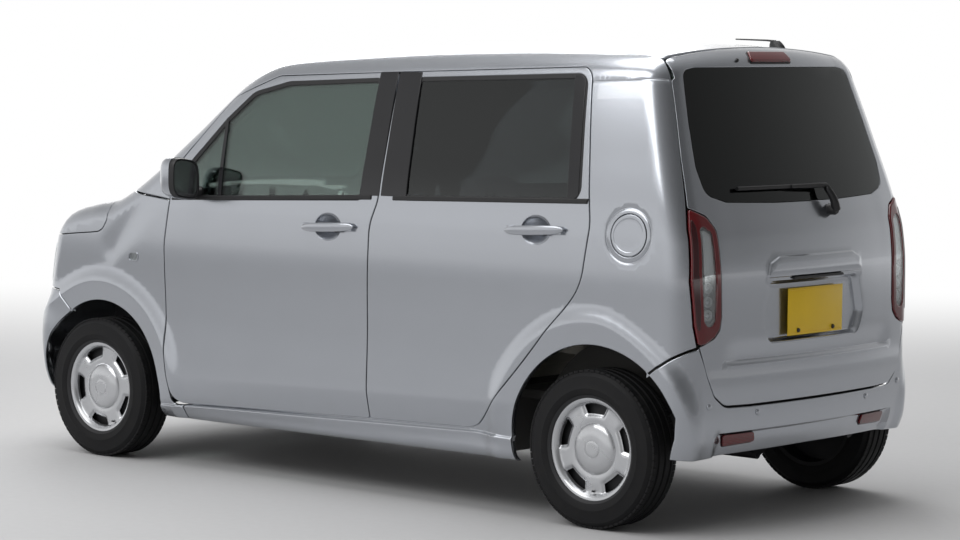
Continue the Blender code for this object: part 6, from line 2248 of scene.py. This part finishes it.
@dataclass
class Mirrors:
    """The door mirrors: silver cap, black housing, foot and glass."""

    back: float = 0.06
    centre: tuple = (0.808, 1.1325)
    half: tuple = (0.07, 0.0775)

    def ring(self, x: float, grow: float) -> Array:
        """One section of the head across X."""
        c = circle(48)
        c = np.sign(c) * np.abs(c) ** 0.55
        y = self.centre[0] + c[:, 0] * self.half[0] * grow
        z = self.centre[1] + c[:, 1] * self.half[1] * grow + 0.01 * c[:, 0] * grow
        return columns(np.full(48, x - self.back), y, z)

    def build(self) -> None:
        """Makes both mirrors."""
        cap_rows = [(0.815, 0.35), (0.814, 0.62), (0.808, 0.82), (0.796, 0.94), (0.78, 1.0),
                    (0.756, 1.02), (0.748, 1.015)]
        rings = [self.ring(x, g) for x, g in cap_rows]
        rings += [self.ring(x, g)
                  for x, g in ((0.748, 0.975), (0.778, 0.965), (0.804, 0.78), (0.809, 0.35))]
        cap = loft(rings)
        shell = loft([self.ring(x, g) for x, g in ((0.7478, 0.99), (0.73, 0.985), (0.724, 0.96),
                                                   (0.724, 0.9), (0.734, 0.885), (0.734, 0.4))])
        glass = loft([self.ring(x, g) for x, g in ((0.732, 0.87), (0.7295, 0.865))])
        foot = loft([columns(0.73 + c[:, 0] * w, np.full(24, y), z + c[:, 1] * h)
                     for c in (np.sign(circle(24)) * np.abs(circle(24)) ** 0.7,)
                     for y, w, z, h in ((0.7, 0.048, 1.075, 0.026), (0.72, 0.04, 1.072, 0.02),
                                        (0.742, 0.032, 1.072, 0.016), (0.775, 0.026, 1.082, 0.02))])
        rows = [(cap, PAINT), (shell, BLACK), (glass, CHROME), (foot, BLACK)]
        for s in Side:
            tag = s.word
            emit(f"door_mirror_{tag}", sided(rows, s), f"door_front_{tag}", [f"mirror_{tag}"])


@dataclass
class Cabin:
    """Seats, dashboard and steering wheel."""

    wheel_at: tuple = (0.345, -0.33, 0.96)
    column_foot: tuple = (0.64, -0.33, 0.8)
    wheel_radius: float = 0.185
    grip: float = 0.0145

    def cushion(self, low: Sequence, high: Sequence, lean: float, pivot: Sequence,
                soft: float = 0.045) -> Shell:
        """A padded block with a crowned face, leaning about Y at a pivot."""
        low, high = np.array(low, float), np.array(high, float)
        middle, half = (low + high) / 2, (high - low) / 2
        bm = bmesh.new()
        bmesh.ops.create_cube(bm, size=2.0)
        bmesh.ops.subdivide_edges(bm, edges=bm.edges[:], cuts=9, use_grid_fill=True)
        for v in bm.verts:
            c = np.array(v.co)
            core = c * (half - soft)
            reach = np.array([math.copysign(abs(q) ** 5, q) for q in c])
            reach /= max(np.linalg.norm(reach), 1e-9)
            v.co = Vector(middle + core + reach * soft)
        turn = (Matrix.Translation(pivot) @ Matrix.Rotation(lean, 4, "Y")
                @ Matrix.Translation(-Vector(pivot)))
        return from_bmesh(bm).at(turn)

    def seat(self, x: float, near: float, far: float, floor: float, heads: Sequence[float],
             lean: float) -> list:
        """One seat: cushion, back in three parts, head rests and their posts.

        Args:
            x: where the cushion meets the back.
            near: its inner y.
            far: its outer y.
            floor: height under the cushion.
            heads: y of each head rest.
            lean: the back's lean.
        Returns:
            Shells with finishes.
        """
        wide = far - near
        parts = [(self.cushion((x - 0.02, near, floor + 0.12), (x + 0.5, far, floor + 0.27), -0.07,
                               (x, 0, floor + 0.2)), CLOTH)]
        for a, b, deep in ((near, near + wide * 0.24, 0.15),
                           (near + wide * 0.22, far - wide * 0.22, 0.125),
                           (far - wide * 0.24, far, 0.15)):
            parts.append((self.cushion((x - 0.1, a, floor + 0.2), (x - 0.1 + deep, b, floor + 0.78),
                                       lean, (x - 0.03, 0, floor + 0.2), 0.035), CLOTH))
        for y in heads:
            parts.append((self.cushion((x - 0.08, y - 0.125, floor + 0.8),
                                       (x + 0.015, y + 0.125, floor + 0.965), lean,
                                       (x - 0.03, 0, floor + 0.2), 0.04), CLOTH))
            for dy in (-0.06, 0.06):
                foot = (Matrix.Translation((x - 0.03, 0, floor + 0.2))
                        @ Matrix.Rotation(lean, 4, "Y")
                        @ Matrix.Translation((-(x - 0.03), 0, -(floor + 0.2))))
                parts.append((tube([(x - 0.035, y + dy, floor + 0.7),
                                    (x - 0.035, y + dy, floor + 0.86)], 0.006, 8).at(foot), ZINC))
        return parts

    def build(self) -> None:
        """Makes the cabin's pieces."""
        front = self.seat(-0.215, 0.075, 0.545, 0.23, (0.31,), -0.26)
        rails = [block((-0.2, y - 0.02, 0.232), (0.24, y + 0.02, 0.262), 0.004)
                 for y in (0.13, 0.49)]
        front += [(rail, STEEL) for rail in rails]
        front.append((block((-0.16, 0.11, 0.26), (0.2, 0.51, 0.36), 0.02), INNER))
        for s in Side:
            seat = emit(f"front_seat_{s.word}", sided(front, s), "chassis",
                        [f"seat_front_{s.word}"])
        rear = (self.seat(-1.03, -0.498, -0.004, 0.43, (-0.27,), -0.24)
                + self.seat(-1.03, 0.004, 0.498, 0.43, (0.27,), -0.24))
        bench = emit("rear_bench", rear, "chassis", ["rear_seat"])
        rows = [(0.905, 0.6), (0.905, 0.985, 0.02), (0.78, 1.005, 0.05), (0.6, 0.955, 0.06),
                (0.555, 0.86, 0.05), (0.6, 0.7, 0.05), (0.8, 0.6, 0.04)]
        body = slab(dense(filleted(rows), 0.02), -0.515, 0.515, "Y", 0.012)
        hood = self.cushion((0.575, -0.48, 0.93), (0.74, -0.18, 1.035), 0.12, (0.65, 0, 0.98), 0.04)
        vents = [block((0.548, y - 0.045, 0.89), (0.575, y + 0.045, 0.935), 0.008)
                 for y in (-0.46, -0.1, 0.1, 0.46)]
        screen = block((0.545, -0.085, 0.78), (0.575, 0.085, 0.875), 0.006)
        emit("dashboard_moulding",
             [(body, INNER), (hood, INNER), (screen, GLOSS)] + [(v, BLACK) for v in vents],
             "chassis", ["dashboard"])
        self.steering()

    def steering(self) -> None:
        """The steering wheel with three spokes and its column."""
        rim, grip = self.wheel_radius, self.grip
        ring = lathe([(rim + grip * c, grip * s) for c, s in circle(14)], 64)
        hub = lathe([(0, 0.016), (0.05, 0.012), (0.062, -0.004), (0.058, -0.028), (0, -0.032)], 40,
                    False)
        spokes = [tube([(0, 0, 0), (0.172 * math.cos(a), -0.004, 0.172 * math.sin(a))],
                       (0.02, 0.013), 12) for a in (0.1, math.pi - 0.1, -QUARTER)]
        wheel, foot = Vector(self.wheel_at), Vector(self.column_foot)
        aim = Vector((0, 1, 0)).rotation_difference(wheel - foot).to_matrix().to_4x4()
        put = Matrix.Translation(wheel + (foot - wheel).normalized() * 0.01) @ aim
        column = tube([tuple(wheel + (foot - wheel) * t) for t in (0.06, 0.45, 0.8)],
                      (0.03, 0.034, 0.026), 16)
        rows = ([(ring.at(put), BLACK), (hub.at(put), BLACK), (column, BLACK)]
                + [(p.at(put), BLACK) for p in spokes])
        emit("steering_wheel_rim", rows, "steering_wheel", ["steering_wheel"])


# ---------------------------------------------------------------- studio


@dataclass
class Studio:
    """Floor, light and the camera that repeats the photograph's view."""

    place: tuple = (-7.734788, 8.713466, 1.714308)
    pitch: float = -0.0798821
    roll: float = 0.0103325
    heading: float = -0.852626
    focal_px: float = 3014.872
    photo_width_px: int = 960
    sensor_mm: float = 36.0
    floor_half: float = 60.0
    lamps: tuple = (
        ("key", (1.0, 7.0, 6.5), (7.0, 4.0), 260), ("over", (0.3, 0.0, 6.5), (6.0, 4.0), 200),
        ("fill", (5.5, -5.0, 5.0), (5.0, 4.0), 200),
    )

    def camera(self) -> None:
        """Sets the camera."""
        data = bpy.data.cameras.new("photo_view")
        data.sensor_width = self.sensor_mm
        data.lens = self.focal_px / self.photo_width_px * self.sensor_mm
        data.clip_end = 200.0
        obj = added("photo_view", data)
        ahead = Vector((
            math.cos(self.pitch) * math.cos(self.heading),
            math.cos(self.pitch) * math.sin(self.heading),
            math.sin(self.pitch),
        ))
        right = ahead.cross(Vector((0, 0, 1))).normalized()
        up = right.cross(ahead)
        r = right * math.cos(self.roll) + up * math.sin(self.roll)
        u = up * math.cos(self.roll) - right * math.sin(self.roll)
        turn = Matrix((r, u, -ahead)).transposed().to_4x4()
        obj.matrix_world = Matrix.Translation(self.place) @ turn
        bpy.context.scene.camera = obj

    def lamp(self, name: str, spot: Sequence[float], size: Sequence[float], watts: float) -> None:
        """A soft rectangular lamp aimed at the car's middle."""
        data = bpy.data.lights.new(name, "AREA")
        data.shape = "RECTANGLE"
        data.size, data.size_y = size
        data.energy = watts
        obj = added(name, data)
        obj.location = spot
        aim = Vector((0, 0, 0.8)) - Vector(spot)
        obj.rotation_euler = aim.to_track_quat("-Z", "Y").to_euler()

    def floor(self) -> None:
        """A pale floor that keeps the car's shadow."""
        tree = Tree("studio_floor")
        speck = tree.noise(30.0, 4.0)
        tree.set(Base_Color=tree.mix(speck, rgba((0.52, 0.52, 0.525)), rgba((0.56, 0.56, 0.565))),
                 Roughness=0.8)
        far = tree.node("ShaderNodeVectorMath", {0: tree.place()}, out="Value", operation="LENGTH")
        east, north = (tree.node("ShaderNodeSeparateXYZ", {0: tree.place()}, out=axis)
                       for axis in "XY")
        beyond = (east * math.cos(self.heading) + north * math.sin(self.heading)).step(3.0, 8.5)
        seen = tree.node("ShaderNodeLightPath", out="Is Camera Ray")
        for kind in ("Is Glossy Ray", "Is Transmission Ray"):
            seen = seen.maths("MAXIMUM", tree.node("ShaderNodeLightPath", out=kind))
        share = seen * beyond.maths("MAXIMUM", far.step(13.0, 30.0))
        white = tree.node("ShaderNodeEmission", {"Color": rgba((1.0, 1.0, 1.0)), "Strength": 1.0})
        tree.blend(share, tree.body(), white)
        mesh = bpy.data.meshes.new("floor")
        r = self.floor_half
        mesh.from_pydata([(-r, -r, 0), (r, -r, 0), (r, r, 0), (-r, r, 0)], [], [(0, 1, 2, 3)])
        mesh.materials.append(tree.material)
        added("floor", mesh)

    def world(self) -> None:
        """A sky that is white at the horizon and darker behind the car."""
        world = bpy.data.worlds.new("studio_sky")
        world.use_nodes = True
        bpy.context.scene.world = world
        sky = Graph(world.node_tree)
        place = sky.node("ShaderNodeTexCoord", out="Generated")
        east, up = (sky.node("ShaderNodeSeparateXYZ", {0: place}, out=axis) for axis in "XZ")
        stops = ((0.0, 1.0), (0.12, 0.95), (0.3, 0.72), (0.6, 0.46), (1.0, 0.6))
        behind = {"Value": east, "From Min": -0.95, "From Max": 0.2, "To Min": 0.2}
        sky.fill(sky.find("BACKGROUND"), {
            "Color": sky.node("ShaderNodeValToRGB", {0: up}, stops=stops),
            "Strength": sky.node("ShaderNodeMapRange", behind, interpolation_type="SMOOTHSTEP"),
        })
        background = Wire(sky, sky.find("BACKGROUND").outputs[0])
        sky.fill(sky.find("OUTPUT_WORLD"), {0: background})

    def build(self) -> None:
        """Sets up everything round the car."""
        self.camera()
        self.world()
        self.floor()
        for lamp in self.lamps:
            self.lamp(*lamp)
        bpy.context.scene.view_settings.view_transform = "Standard"


KEPT = {"floor_pan": CARPET, "bulkhead": STEEL, "front_subframe": STEEL, "rear_axle": STEEL,
        "engine_block": STEEL, "exhaust": STEEL, "fuel_tank": BLACK, "front_knuckle_left": STEEL,
        "front_knuckle_right": STEEL}


def dress_kept() -> None:
    """Gives each CAD node that still shows its material."""
    for name, finish in KEPT.items():
        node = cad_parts[name]
        node.data.materials.clear()
        node.data.materials.append(finish.material())


def main() -> None:
    """Builds the whole scene."""
    logging.basicConfig(level=logging.INFO)
    Studio().build()
    Door("front", FRONT_GLASS, CLEAR, (-0.137, 0.125, 0.979), True).build()
    Door("rear", REAR_GLASS, TINTED, (-1.132, -0.867, 1.019), False).build()
    for assembly in (BodySide(), Nose(), Roof(), Tail(), Wheels(), Mirrors(), Cabin()):
        assembly.build()
    dress_kept()


if __name__ == "__main__":
    main()
